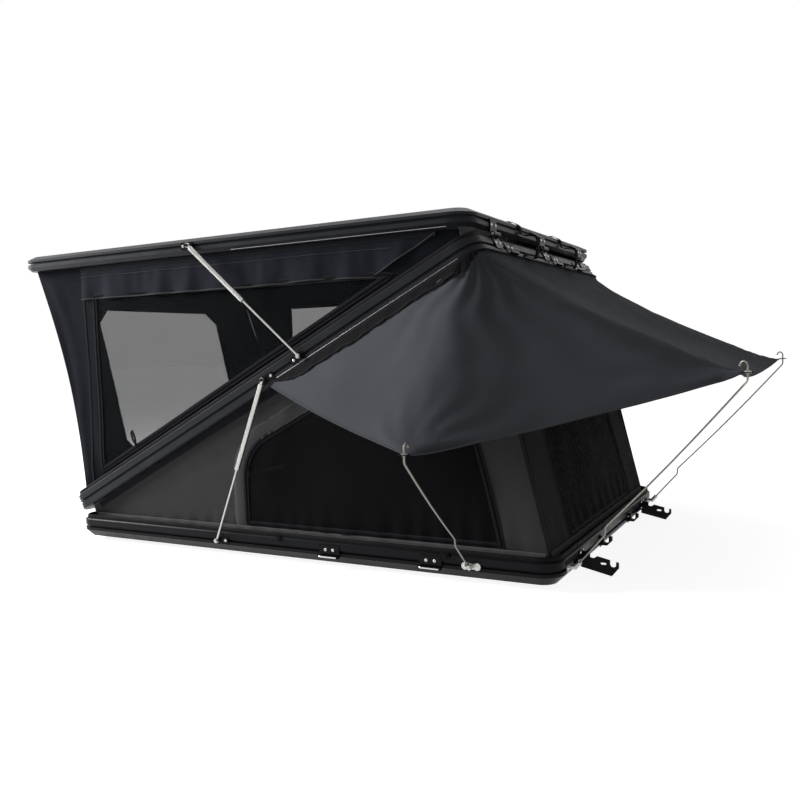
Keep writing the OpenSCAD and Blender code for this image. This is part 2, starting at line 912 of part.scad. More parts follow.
// A pole of bent wire: straight foot, jog, bowed run and an upright tip, all in one upright plane
pole_sides = 12;
bend_steps = 4;
bow_steps = 6;
function bend(a, b, c) =
  let (p = b - pole_bend * unit(b - a), q = b + pole_bend * unit(c - b))
  [for (i = [0 : bend_steps]) let (t = i / bend_steps) mix(mix(p, b, t), mix(b, q, t), t)];
function bowed(a, b, up) = [
  for (i = [1 : bow_steps - 1])
    let (t = i / bow_steps)
    mix(a, b, t) - pole_bow * sin(180 * t) * up
];
function pole_route(foot, tab) =
  let (
    way = pole_way(foot, tab),
    up = unit([0, 0, 1] - way.z * way),
    low = foot + pole_foot * way,
    high = foot + (pole_foot + pole_jog) * way + pole_jog * up,
    neck = tab - [0, 0, tip_below],
    tip = tab + [0, 0, tip_above],
    run = bowed(high, neck, up)
  )
  concat(
    [foot], bend(foot, low, high), bend(low, high, run[0]), run,
    bend(run[len(run) - 1], neck, tip), [tip]
  );
function route_way(route, i) = unit(route[min(i + 1, len(route) - 1)] - route[max(i - 1, 0)]);

module pole(foot, tab) {
  route = pole_route(foot, tab);
  side = unit(cross(pole_way(foot, tab), [0, 0, 1]));
  rings = [
    for (i = [0 : len(route) - 1])
      let (up = cross(route_way(route, i), side))
      [for (k = [0 : pole_sides - 1])
        let (a = 360 * k / pole_sides)
        route[i] + pole_radius * (cos(a) * side + sin(a) * up)]
  ];
  color("#8a8576")
    polyhedron([for (r = rings) each r], ring_faces(pole_sides, len(rings)), convexity = 6);
}

module side_pole_near() {
  pole(side_socket, side_tab);
}

module side_pole_far() {
  mirror([0, 1, 0]) pole(side_socket, side_tab);
}

module front_pole_near() {
  pole(front_socket, front_tab);
}

module front_pole_far() {
  mirror([0, 1, 0]) pole(front_socket, front_tab);
}

socket_ear = 13;
socket_ear_reach = 22;
socket_neck = 19.5;
socket_floor = 4;

// Socket: a plate with two round ears on the face, a stem and a cup along the pole
module socket_plate() {
  for (s = [-1, 1])
    translate([s * socket_ear_reach, 0]) circle(socket_ear);
  square([2 * socket_ear_reach, socket_neck], center = true);
}

module socket_cup(foot, way, face) {
  difference() {
    union() {
      stick(foot - socket_floor * way, foot + socket_depth * way, socket_radius);
      stick(face, foot, socket_radius);
    }
    stick(foot - pole_clearance * way, foot + 2 * socket_depth * way, pole_radius + pole_clearance);
  }
}

module pole_sockets() {
  side_face = [side_socket.x, -half_width, side_socket.z];
  front_face = [half_length, front_socket.y, front_socket.z];
  color("#c4c6c8")
    both_sides() {
      socket_cup(side_socket, side_way, side_face);
      side_slab(-half_width - fitting_plate, -half_width)
        translate([side_face.x, side_face.z])
          socket_plate();
      socket_cup(front_socket, front_way, front_face);
      translate(front_face)
        rotate([90, 0, 90])
          linear_extrude(fitting_plate)
            socket_plate();
    }
}

module awning_tabs() {
  color("#232427")
    both_sides()
      for (t = [side_tab, front_tab])
        translate(t - [0, 0, tab_thickness / 2])
          difference() {
            cylinder(h = tab_thickness, r = tab_radius);
            translate([0, 0, -1])
              cylinder(h = tab_thickness + 2, r = pole_radius + pole_clearance);
          }
}

// Awning: a grid from the middle frame's lower edge to the free edge, near half then far half
side_columns = 9;
corner_columns = 7;
front_columns = 7;
awning_rows = 8;
keder_height = 8;
keder_out = cloth * sin(lower_angle) + 2 * cloth_clearance;
edge_sag = 14;
function lifted(p) = let (q = on_middle([p.x, p.z])) [q.x, p.y, q.y];
function keder(x, y) = lifted([x, y, middle_z + keder_height]);
corner_start = half_length - corner_radius;
corner_side = half_width - corner_radius;
keder_line = concat(
  [for (i = [0 : side_columns])
    keder(mix(awning_start, corner_start, i / side_columns), -half_width - keder_out)],
  [for (i = [1 : corner_columns])
    let (a = 90 * i / corner_columns - 90, r = corner_radius + keder_out)
    keder(corner_start + r * cos(a), -corner_side + r * sin(a))],
  [for (i = [1 : front_columns])
    keder(half_length + keder_out, mix(-corner_side, 0, i / front_columns))]
);
tail_flare = 20;
awning_tail = keder_line[0] - [0, tail_flare, tail_flare];
front_middle = [front_corner.x, 0, front_corner.z];
function sagged(a, b, t) = mix(a, b, t) - [0, 0, edge_sag * sin(180 * t)];
free_line = concat(
  [for (i = [0 : side_columns]) sagged(awning_tail, side_corner, i / side_columns)],
  [for (i = [1 : corner_columns]) sagged(side_corner, front_corner, i / corner_columns)],
  [for (i = [1 : front_columns])
    mix(front_corner, front_middle, i / front_columns)
    - [0, 0, edge_sag * sin(90 * i / front_columns)]]
);
half_columns = len(keder_line);
function flipped(p) = [p.x, -p.y, p.z];
function awning_column(i) = [
  for (j = [0 : awning_rows])
    let (t = j / awning_rows)
    mix(keder_line[i], free_line[i], t)
    - [0, 0, awning_sag * sin(180 * t) * min(1, norm(free_line[i] - keder_line[i]) / awning_front)]
];
awning_grid = concat(
  [for (i = [0 : half_columns - 1]) awning_column(i)],
  [for (i = [half_columns - 2 : -1 : 0]) [for (p = awning_column(i)) flipped(p)]]
);

// A closed sheet from a grid of points and a second grid one thickness away
function pair(a, b, c, d) = [[a, c, b], [a, d, c]];
function sheet_faces(n, m) =
  let (under = (n + 1) * (m + 1))
  concat(
    [for (i = [0 : n - 1], j = [0 : m - 1])
      let (a = i * (m + 1) + j, b = a + m + 1)
      each pair(a, a + 1, b + 1, b)],
    [for (i = [0 : n - 1], j = [0 : m - 1])
      let (a = under + i * (m + 1) + j, b = a + m + 1)
      each pair(a, b, b + 1, a + 1)],
    [for (i = [0 : n - 1])
      let (a = i * (m + 1), b = a + m + 1)
      each pair(a, b, under + b, under + a)],
    [for (i = [0 : n - 1])
      let (a = i * (m + 1) + m, b = a + m + 1)
      each pair(b, a, under + a, under + b)],
    [for (j = [0 : m - 1])
      let (a = j, b = j + 1)
      each pair(b, a, under + a, under + b)],
    [for (j = [0 : m - 1])
      let (a = n * (m + 1) + j, b = a + 1)
      each pair(a, b, under + b, under + a)]
  );

module sheet(grid, offset) {
  points = [for (column = grid) each column];
  polyhedron(
    concat(points, [for (p = points) p + offset]),
    sheet_faces(len(grid) - 1, len(grid[0]) - 1),
    convexity = 6
  );
}

module awning() {
  color("#4b4e52") sheet(awning_grid, [0, 0, -cloth]);
}

// Lower walls: side walls with a door, and a front wall with a window
seam = cloth_clearance;
lower_wall_tip = half_length - rim_width - 10;
lower_wall_outline = [
  [-lower_wall_tip, base_top + seam], [wall_x, base_top + seam],
  on_middle([wall_x, middle_z - seam]), on_middle([-lower_wall_tip, middle_z - seam])
];
diagonal = [cos(lower_angle), sin(lower_angle)];
front_slope = unit(lower_wall_outline[2] - lower_wall_outline[1]);

// Where the line through p along u meets the line through q along v
function meet(p, u, q, v) =
  let (w = q - p, t = (w.x * v.y - w.y * v.x) / (u.x * v.y - u.y * v.x))
  p + t * u;
function rear_corner_arc(rear, top) =
  let (
    corner = meet(rear, [0, 1], top, diagonal),
    cut = door_arch * tan((90 - lower_angle) / 2),
    centre = corner + [door_arch, -cut]
  )
  arc(centre, door_arch, 180, 90 + lower_angle, 10);
door_foot = [door_rear, base_top + door_sill];
door_head = on_middle([0, middle_z - door_top_margin]);
door_front = lower_wall_outline[1] - [door_front_margin, 0];
door_outline = concat(
  [meet(door_foot, [1, 0], door_front, front_slope), door_foot],
  rear_corner_arc(door_foot, door_head),
  [meet(door_head, diagonal, door_front, front_slope)]
);

module wall_slab() {
  side_slab(-wall_y - cloth / 2, -wall_y + cloth / 2) children();
}

module lower_side_walls() {
  color("#3a3b3e")
    both_sides()
      wall_slab()
        difference() {
          polygon(lower_wall_outline);
          polygon(door_outline);
        }
}

module door_meshes() {
  color("#141517") both_sides() wall_slab() polygon(door_outline);
}

wall_half = wall_y - cloth / 2 - seam;
tilt_room = 2;
front_wall_foot = [wall_x, base_top + seam];
front_wall_head = on_middle([wall_x, middle_z - tilt_room]);

module front_wall_sheet() {
  side_slab(-wall_half, wall_half)
    polygon([
      front_wall_foot, front_wall_head,
      front_wall_head - [cloth, 0], front_wall_foot - [cloth, 0]
    ]);
}

// A window shape as seen from the end, made solid along X
module end_window(x0, x1, z0, z1) {
  translate([x0, 0, (z0 + z1) / 2])
    rotate([90, 0, 90])
      linear_extrude(x1 - x0)
        round_rectangle(end_window_width, z1 - z0, end_window_corner);
}

module front_window() {
  end_window(0, shell_length, base_top + front_window_low, front_wall_head.y - end_window_top);
}

module lower_front_wall() {
  color("#3a3b3e")
    difference() {
      front_wall_sheet();
      front_window();
    }
}

module front_window_mesh() {
  color("#141517")
    intersection() {
      front_wall_sheet();
      front_window();
    }
}

// Upper walls: side walls with a three-cornered window, and a drawn-in rear wall with a window
upper_wall_tip = half_length - rim_width - 10;
rear_foot = on_middle([-wall_x, middle_top + seam]);
rear_head = on_roof([-wall_x, roof_z - seam]);
rear_steps = 16;
function rear_line(t) = mix(rear_foot, rear_head, t) + [rear_draw * sin(180 * t), 0];
rear_curve = [for (i = [0 : rear_steps]) rear_line(i / rear_steps)];
upper_wall_outline = concat(
  rear_curve,
  [on_roof([upper_wall_tip, roof_z - seam]), on_middle([upper_wall_tip, middle_top + seam])]
);
window_low = on_middle([0, middle_top + window_low_margin]);
window_rear = rear_foot.x + window_rear_margin;
window_top = rear_head.y - window_top_margin;
window_outline = [
  meet(window_low, diagonal, [window_rear, 0], [0, 1]),
  [window_rear, window_top],
  meet(window_low, diagonal, [0, window_top], [1, 0])
];

module upper_side_walls() {
  color("#232529")
    both_sides()
      wall_slab()
        difference() {
          polygon(upper_wall_outline);
          polygon(window_outline);
        }
}

module side_window_meshes() {
  color("#1c1f23") both_sides() wall_slab() polygon(window_outline);
}

rear_rise = tilt_room / (rear_head.y - rear_foot.y);
rear_sheet_curve = [for (i = [0 : rear_steps]) rear_line(mix(rear_rise, 1, i / rear_steps))];

module rear_wall_sheet() {
  side_slab(-wall_half, wall_half)
    polygon(concat(
      rear_sheet_curve,
      [for (i = [rear_steps : -1 : 0]) rear_sheet_curve[i] + [cloth, 0]]
    ));
}

module rear_window() {
  end_window(-shell_length, 0, rear_foot.y + rear_window_low, rear_head.y - end_window_top);
}

module rear_wall() {
  color("#232529")
    difference() {
      rear_wall_sheet();
      rear_window();
    }
}

module rear_window_mesh() {
  color("#1c1f23")
    intersection() {
      rear_wall_sheet();
      rear_window();
    }
}

// Roof and middle frames
module middle_side_rails() {
  color("#2e2f33") lift_middle() translate([0, 0, middle_z]) ring_sides() middle_section();
}

module middle_end_rails() {
  color("#2e2f33") lift_middle() translate([0, 0, middle_z]) ring_ends() middle_section();
}

module middle_corners() {
  color("#2e2f33") lift_middle() translate([0, 0, middle_z]) ring_corners() middle_section();
}

module middle_seal() {
  color("#151516") lift_middle() translate([0, 0, middle_z]) seal_ring();
}

module roof_side_rails() {
  color("#2e2f33") lift_roof() translate([0, 0, roof_z]) ring_sides() roof_section();
}

module roof_end_rails() {
  color("#2e2f33") lift_roof() translate([0, 0, roof_z]) ring_ends() roof_section();
}

module roof_corners() {
  color("#2e2f33") lift_roof() translate([0, 0, roof_z]) ring_corners() roof_section();
}

module roof_core() {
  color("#c9c9c4") lift_roof() panel_core_at(roof_panel_z);
}

module roof_skins() {
  color("#9fa1a4") lift_roof() panel_skins_at(roof_panel_z);
}

// Cover that hangs in waves below the roof over each side window
cover_columns = 48;
cover_rows = 3;
cover_waves = 8;
cover_start = 285;
cover_rear = -half_length + rim_width + cover_start;
cover_slack = 45;
function slope_drop(x) =
  (front_axis.x - x) * tan(upper_angle) - shell_gap / 2 * (1 + 1 / cos(upper_angle)) - cover_slack;
cover_tip = front_axis.x - (shell_gap * 1.5 + cover_slack) / tan(upper_angle);
cover_grid = [
  for (i = [0 : cover_columns])
    let (x = mix(cover_rear, cover_tip, i / cover_columns), drop = min(cover_drop, slope_drop(x)))
    [for (j = [0 : cover_rows])
      let (t = j / cover_rows)
      [x, -wall_y - cover_offset - cover_wave * t * sin(360 * cover_waves * i / cover_columns),
        roof_z - seam - drop * t]]
];

module window_covers() {
  color("#26282c") lift_roof() both_sides() sheet(cover_grid, [0, cloth, 0]);
}

// Straps from the roof's front edge to the middle frame's front face
strap_out = 1;
strap_head_low = 2;
strap_foot_high = 10;
strap_head = on_roof([half_length + strap_out, roof_z + rim_height - roof_bevel_height - strap_head_low]);
strap_foot = on_middle([half_length + strap_out, middle_z + keder_height + strap_foot_high]);
strap_bulge = 26;
strap_steps = 10;
strap_curve = [
  for (i = [0 : strap_steps])
    let (t = i / strap_steps)
    mix(strap_head, strap_foot, t)
    + strap_bulge * sin(180 * t) * [cos(lower_angle / 2), sin(lower_angle / 2)]
];

module closing_straps() {
  color("#17181a")
    for (sy = [-1, 1])
      side_slab(sy * strap_y - strap_width / 2, sy * strap_y + strap_width / 2)
        polygon(concat(
          strap_curve,
          [for (i = [strap_steps : -1 : 0]) strap_curve[i] + [strap_thickness, 0]]
        ));
}

base_side_rails();
base_end_rails();
base_corners();
base_seal();
floor_core();
floor_skins();
mattress();
mounting_rails();
rear_hinge_base_leaves();
rear_hinge_pins();
lower_strut_feet();
side_hook_plates();
front_hooks();
accessory_arms();
pole_sockets();
lower_side_walls();
lower_front_wall();
door_meshes();
front_window_mesh();
middle_side_rails();
middle_end_rails();
middle_corners();
middle_seal();
rear_hinge_middle_leaves();
front_hinge_middle_leaves();
front_hinge_pins();
middle_strut_brackets();
latch_plates();
awning();
awning_tabs();
upper_side_walls();
rear_wall();
side_window_meshes();
rear_window_mesh();
roof_side_rails();
roof_end_rails();
roof_corners();
roof_core();
roof_skins();
front_hinge_roof_leaves();
upper_strut_heads();
window_covers();
closing_straps();
lower_tube_near();
lower_tube_far();
lower_rod_near();
lower_rod_far();
upper_tube_near();
upper_tube_far();
upper_rod_near();
upper_rod_far();
side_pole_near();
side_pole_far();
front_pole_near();
front_pole_far();
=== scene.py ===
import json
from math import atan2, cos, exp, pi, radians, sin, sqrt, tan

import bpy
import numpy as np
from mathutils import Matrix, Vector, noise
from numpy.linalg import norm


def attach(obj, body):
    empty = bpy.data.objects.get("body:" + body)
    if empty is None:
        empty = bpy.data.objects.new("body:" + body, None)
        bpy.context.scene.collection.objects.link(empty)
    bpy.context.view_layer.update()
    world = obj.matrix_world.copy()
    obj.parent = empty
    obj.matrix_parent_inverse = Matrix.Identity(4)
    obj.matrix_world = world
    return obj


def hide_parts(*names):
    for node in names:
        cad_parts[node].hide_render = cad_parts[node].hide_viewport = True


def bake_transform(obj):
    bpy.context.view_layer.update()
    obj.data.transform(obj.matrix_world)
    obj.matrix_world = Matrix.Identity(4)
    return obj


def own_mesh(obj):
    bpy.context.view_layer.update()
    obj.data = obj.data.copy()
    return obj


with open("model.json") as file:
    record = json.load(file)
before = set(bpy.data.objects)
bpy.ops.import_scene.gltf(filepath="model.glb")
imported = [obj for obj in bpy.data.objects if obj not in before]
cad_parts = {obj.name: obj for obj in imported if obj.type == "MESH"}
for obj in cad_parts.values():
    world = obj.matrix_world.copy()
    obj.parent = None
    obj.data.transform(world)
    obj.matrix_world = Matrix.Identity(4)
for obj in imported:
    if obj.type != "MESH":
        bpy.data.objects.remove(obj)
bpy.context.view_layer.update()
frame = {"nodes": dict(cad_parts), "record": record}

# Sizes and places, in metres, with the frames flat on each other as when closed
LOWER_ANGLE, UPPER_ANGLE = radians(27.4), radians(27.1)
HALF_LENGTH, HALF_WIDTH, CORNER_RADIUS = 1.085, 0.76, 0.08
BASE_LOW, BASE_TOP, MID_LOW, MID_TOP, ROOF_LOW, ROOF_TOP = 0.03, 0.096, 0.116, 0.182, 0.202, 0.268
RIM_MIDDLE = 0.033
REAR_AXIS, FRONT_AXIS = (-1.097, 0.106), (1.097, 0.192)
WALL_X, WALL_Y, WALL_TIP, REAR_DRAW = 1.042, 0.717, 1.029, 0.048
HINGES_Y, LATCH_OFFSET = (-0.545, 0, 0.545), 0.115
HOOK_PLATES_X, SIDE_SOCKET_X, FRONT_SOCKET_Y = (0.217, 0.630), 0.782, 0.64
FRONT_HOOK_Y, ARM_Y = 0.23, 0.50
LOWER_FOOT_X, LOWER_HEAD_X, UPPER_FOOT_X, UPPER_HEAD_X = -0.302, 0.106, 0.295, -0.103
AWNING_START, EYELET_OUT, EYELET_TURN = 0.145, 0.0166, radians(29.4)
# Thickness of canvas and mesh, and the gap between cloth and the frame that it meets
CLOTH, MESH, SEAT = 0.0012, 0.0006, 0.0006
# The sign of Y on each side
SIDES = ((-1, "near"), (1, "far"))


def turned(p, c, angle):
    """A point of the side view, turned about a centre."""
    dx, dz = p[0] - c[0], p[1] - c[1]
    return (c[0] + dx * cos(angle) - dz * sin(angle), c[1] + dx * sin(angle) + dz * cos(angle))


def still(x, z):
    return (x, z)


def mid(x, z):
    """A place on the middle frame, opened."""
    return turned((x, z), REAR_AXIS, LOWER_ANGLE)


def roof(x, z):
    """A place on the roof, opened."""
    return mid(*turned((x, z), FRONT_AXIS, -UPPER_ANGLE))


def lift(place, p):
    x, z = place(p[0], p[2])
    return (x, p[1], z)


def smooth(t):
    t = min(1.0, max(0.0, t))
    return t * t * (3 - 2 * t)


def wobble(x, y, z=0.0):
    return noise.noise(Vector((x, y, z)))


def inside(p, poly):
    x, z = p
    hit = False
    for (x0, z0), (x1, z1) in zip(poly, poly[1:] + poly[:1]):
        if (z0 > z) != (z1 > z) and x < x0 + (z - z0) * (x1 - x0) / (z1 - z0):
            hit = not hit
    return hit


def meet(p, u, q, v):
    """Where the line from p along u meets the line from q along v."""
    wx, wz = q[0] - p[0], q[1] - p[1]
    t = (wx * v[1] - wz * v[0]) / (u[0] * v[1] - u[1] * v[0])
    return (p[0] + t * u[0], p[1] + t * u[1])


def arc(c, r, a0, a1, n):
    angles = [a0 + (a1 - a0) * i / n for i in range(n + 1)]
    return [(c[0] + r * cos(a), c[1] + r * sin(a)) for a in angles]


# Materials
CLOTH_IOR, STITCHES_PER_METRE = 1.08, 110.0


def surface(m):
    """The sockets of a material's surface."""
    return m.node_tree.nodes["Principled BSDF"].inputs


def material(name, colour, rough, metal=0.0, **sockets):
    m = bpy.data.materials.new(name)
    m.use_nodes = True
    b = surface(m)
    b["Base Color"].default_value = (*colour, 1)
    b["Roughness"].default_value = rough
    b["Metallic"].default_value = metal
    for key, value in sockets.items():
        b[key.replace("_", " ")].default_value = value
    return m


def node(m, kind, **values):
    n = m.node_tree.nodes.new(kind)
    for key, value in values.items():
        if hasattr(n, key):
            setattr(n, key, value)
        else:
            n.inputs[key.replace("_", " ")].default_value = value
    return n


def link(m, a, b):
    m.node_tree.links.new(a, b)


def coordinates(m, kind="Object", stretch=None):
    c = node(m, "ShaderNodeTexCoord")
    if stretch is None:
        return c.outputs[kind]
    s = node(m, "ShaderNodeMapping")
    s.inputs["Scale"].default_value = stretch
    link(m, c.outputs[kind], s.inputs["Vector"])
    return s.outputs["Vector"]


def noise_of(m, scale, detail=2.0, where=None):
    n = node(m, "ShaderNodeTexNoise", Scale=scale, Detail=detail)
    link(m, where or coordinates(m), n.inputs["Vector"])
    return n.outputs["Fac"]


def bands(m, direction, scale, where):
    w = node(m, "ShaderNodeTexWave", bands_direction=direction, Scale=scale)
    link(m, where, w.inputs["Vector"])
    return w.outputs["Fac"]


def maths(m, operation, a, b):
    n = node(m, "ShaderNodeMath", operation=operation)
    for socket, value in zip(n.inputs, (a, b)):
        if isinstance(value, (int, float)):
            socket.default_value = value
        else:
            link(m, value, socket)
    return n.outputs[0]


def spread(m, factor, low, high, target):
    """Lays factor between two values or colours on a socket of the surface."""
    r = node(m, "ShaderNodeValToRGB")
    r.color_ramp.elements[0].position, r.color_ramp.elements[1].position = 0.3, 0.7
    for e, v in zip(r.color_ramp.elements, (low, high)):
        e.color = (*v, 1) if hasattr(v, "__len__") else (v, v, v, 1)
    link(m, factor, r.inputs["Fac"])
    link(m, r.outputs["Color"], surface(m)[target])


def bumped(m, height, strength, distance, below=None):
    b = node(m, "ShaderNodeBump", Strength=strength, Distance=distance)
    link(m, height, b.inputs["Height"])
    if below is not None:
        link(m, below, b.inputs["Normal"])
    link(m, b.outputs["Normal"], surface(m)["Normal"])
    return b.outputs["Normal"]


def tint(colour, factor):
    return tuple(min(1.0, c * factor) for c in colour)


def coated(name, colour, rough=0.42, grain=700, **sockets):
    """Powder coat: fine orange peel, with faint clouds in colour and gloss."""
    m = material(name, colour, rough, **sockets)
    spread(m, noise_of(m, 5.0), tint(colour, 0.85), tint(colour, 1.15), "Base Color")
    spread(m, noise_of(m, 22.0, 4.0), rough - 0.05, rough + 0.07, "Roughness")
    bumped(m, noise_of(m, grain, 2.0), 0.12, 0.0004)
    return m


def fabric(name, colour, across=("X", "Z"), pitch=520.0, rough=0.8, ior=CLOTH_IOR, **sockets):
    """Woven cloth: two crossed sets of threads over a soft uneven dye."""
    m = material(name, colour, rough, IOR=ior, **sockets)
    place = coordinates(m)
    spread(m, noise_of(m, 3.0, 3.0, place), tint(colour, 0.9), tint(colour, 1.1), "Base Color")
    spread(m, noise_of(m, 60.0, 3.0, place), rough - 0.08, rough + 0.08, "Roughness")
    threads = maths(m, "ADD", bands(m, across[0], pitch, place), bands(m, across[1], pitch, place))
    first = bumped(m, threads, 0.1, 0.0005)
    bumped(m, noise_of(m, 16.0, 2.0, place), 0.1, 0.004, first)
    return m


def netting(name, colour, across, cover):
    """Insect mesh: fine threads that hide a share of what is behind."""
    return fabric(name, colour, across, 700.0, 0.7, Alpha=cover)


def stitched(name, colour, thread, rough=0.75):
    """Tape with a row of stitches along each edge.

    U runs along the tape in metres, and V across it from 0 to 1.
    """
    m = material(name, colour, rough, IOR=CLOTH_IOR)
    c = node(m, "ShaderNodeSeparateXYZ")
    link(m, coordinates(m, "UV"), c.inputs[0])
    count = maths(m, "MULTIPLY", c.outputs[0], STITCHES_PER_METRE)
    along = maths(m, "GREATER_THAN", maths(m, "FRACT", count, 0.0), 0.35)
    edge = maths(m, "ABSOLUTE", maths(m, "SUBTRACT", c.outputs[1], 0.5), 0.0)
    row = maths(m, "LESS_THAN", maths(m, "ABSOLUTE", maths(m, "SUBTRACT", edge, 0.36), 0.0), 0.035)
    stitch = maths(m, "MULTIPLY", along, row)
    mixed = node(m, "ShaderNodeMix", data_type="RGBA")
    link(m, stitch, mixed.inputs[0])
    mixed.inputs[6].default_value = (*colour, 1)
    mixed.inputs[7].default_value = (*thread, 1)
    link(m, mixed.outputs[2], surface(m)["Base Color"])
    ribs = bands(m, "X", 260.0, coordinates(m, "UV"))
    first = bumped(m, ribs, 0.15, 0.0004)
    bumped(m, stitch, 0.5, 0.0006, first)
    return m


def brushed(name, colour, rough, stretch):
    """Drawn metal: fine lines along one way."""
    m = material(name, colour, rough, 1.0)
    lines = noise_of(m, 90.0, 4.0, coordinates(m, "Object", stretch))
    spread(m, lines, tint(colour, 0.85), tint(colour, 1.08), "Base Color")
    spread(m, lines, max(0.05, rough - 0.08), rough + 0.1, "Roughness")
    bumped(m, lines, 0.06, 0.0003)
    return m


LOOK = {
    "frame": coated("charcoal_coat", (0.026, 0.0275, 0.032), 0.33, IOR=1.17),
    # The base frame's coat is the frame coat made darker: painted shade on the base
    "base_frame": coated("dark_coat", (0.0085, 0.009, 0.0105), 0.33, IOR=1.17),
    "black": coated("black_coat", (0.005, 0.005, 0.006), 0.24, 900, IOR=1.18),
    "rubber": coated("seal_rubber", (0.007, 0.007, 0.008), 0.72, 400, Specular_IOR_Level=0.1),
    "core": coated("panel_foam", (0.42, 0.41, 0.37), 0.9, 300),
    "upper": fabric("upper_canvas", (0.0122, 0.0134, 0.0172)),
    "rear": fabric("rear_canvas", (0.0122, 0.0134, 0.0172), ("Y", "Z")),
    "lower": fabric("lower_canvas", (0.060, 0.060, 0.062)),
    # The front wall's canvas is the lower walls' canvas made a little darker: painted shade
    "front": fabric("front_canvas", (0.052, 0.052, 0.055), ("Y", "Z")),
    "cover": fabric("cover_canvas", (0.0228, 0.0245, 0.0315)),
    "awning": fabric("awning_canvas", (0.0755, 0.079, 0.0885), ("X", "Y"), rough=0.6, ior=1.03),
    "mattress": fabric("mattress_cover", (0.12, 0.12, 0.125), ("X", "Y"), 300.0),
    "door": netting("door_mesh", (0.008, 0.008, 0.009), ("X", "Z"), 0.95),
    "closed_door": fabric("door_canvas", (0.012, 0.012, 0.013)),
    "window": netting("window_mesh", (0.012, 0.014, 0.016), ("X", "Z"), 0.35),
    "end_window": netting("end_window_mesh", (0.012, 0.014, 0.016), ("Y", "Z"), 0.35),
    "front_window": netting("front_window_mesh", (0.004, 0.004, 0.0045), ("Y", "Z"), 0.95),
    "tape": stitched("dark_tape", (0.019, 0.020, 0.023), (0.045, 0.045, 0.05)),
    "band": stitched("band_tape", (0.070, 0.070, 0.072), (0.11, 0.11, 0.11)),
    "hem": stitched("hem_tape", (0.13, 0.13, 0.133), (0.19, 0.19, 0.19)),
    "webbing": stitched("webbing", (0.009, 0.009, 0.010), (0.025, 0.025, 0.025)),
    "steel": brushed("bright_steel", (0.56, 0.56, 0.55), 0.24, (1, 1, 6)),
    "strut": brushed("strut_paint", (0.44, 0.435, 0.42), 0.28, (2, 2, 0.4)),
    "wire": brushed("pole_wire", (0.20, 0.19, 0.165), 0.34, (2, 2, 0.4)),
    # painted highlight: thin bright lips that stand in for the light caught by the rails' lower edges
    "lip": brushed("bare_lip", (0.20, 0.20, 0.21), 0.34, (0.4, 2, 2)),
    "skin": coated("panel_skin", (0.055, 0.056, 0.06), 0.45, 120),
}

SLOT_LOOK = {
    "frame": "frame", "panel_skin": "skin", "panel_core": "core", "seal": "rubber",
    "mattress": "mattress", "black_fittings": "black", "steel": "strut", "pole_wire": "wire",
    "wall_cloth": "lower", "mesh": "window", "awning_cloth": "awning", "webbing": "webbing",
}
for entry in frame["record"]["subparts"]:
    data = frame["nodes"][entry["node"]].data
    data.materials.clear()
    look = SLOT_LOOK[entry["material_slot"]]
    # the base frame gets the darker coat: painted shade
    if look == "frame" and entry["node"].startswith("base"):
        look = "base_frame"
    data.materials.append(LOOK[look])


# Mesh building
def unit(vectors):
    return vectors / np.maximum(norm(vectors, axis=-1, keepdims=True), 1e-9)


def headings(p, closed):
    """The way ahead at each point of a path."""
    ahead = np.roll(p, -1, 0) - np.roll(p, 1, 0)
    if not closed:
        ahead[0], ahead[-1] = p[1] - p[0], p[-1] - p[-2]
    return ahead


def joined(count, sides, closed=False):
    """Faces between rings of points, with a face at each end unless closed."""
    faces = []
    for i in range(count if closed else count - 1):
        a, b = i * sides, (i + 1) % count * sides
        faces += [(a + k, a + (k + 1) % sides, b + (k + 1) % sides, b + k) for k in range(sides)]
    if not closed:
        faces += [tuple(range(sides))[::-1], tuple((count - 1) * sides + k for k in range(sides))]
    return faces


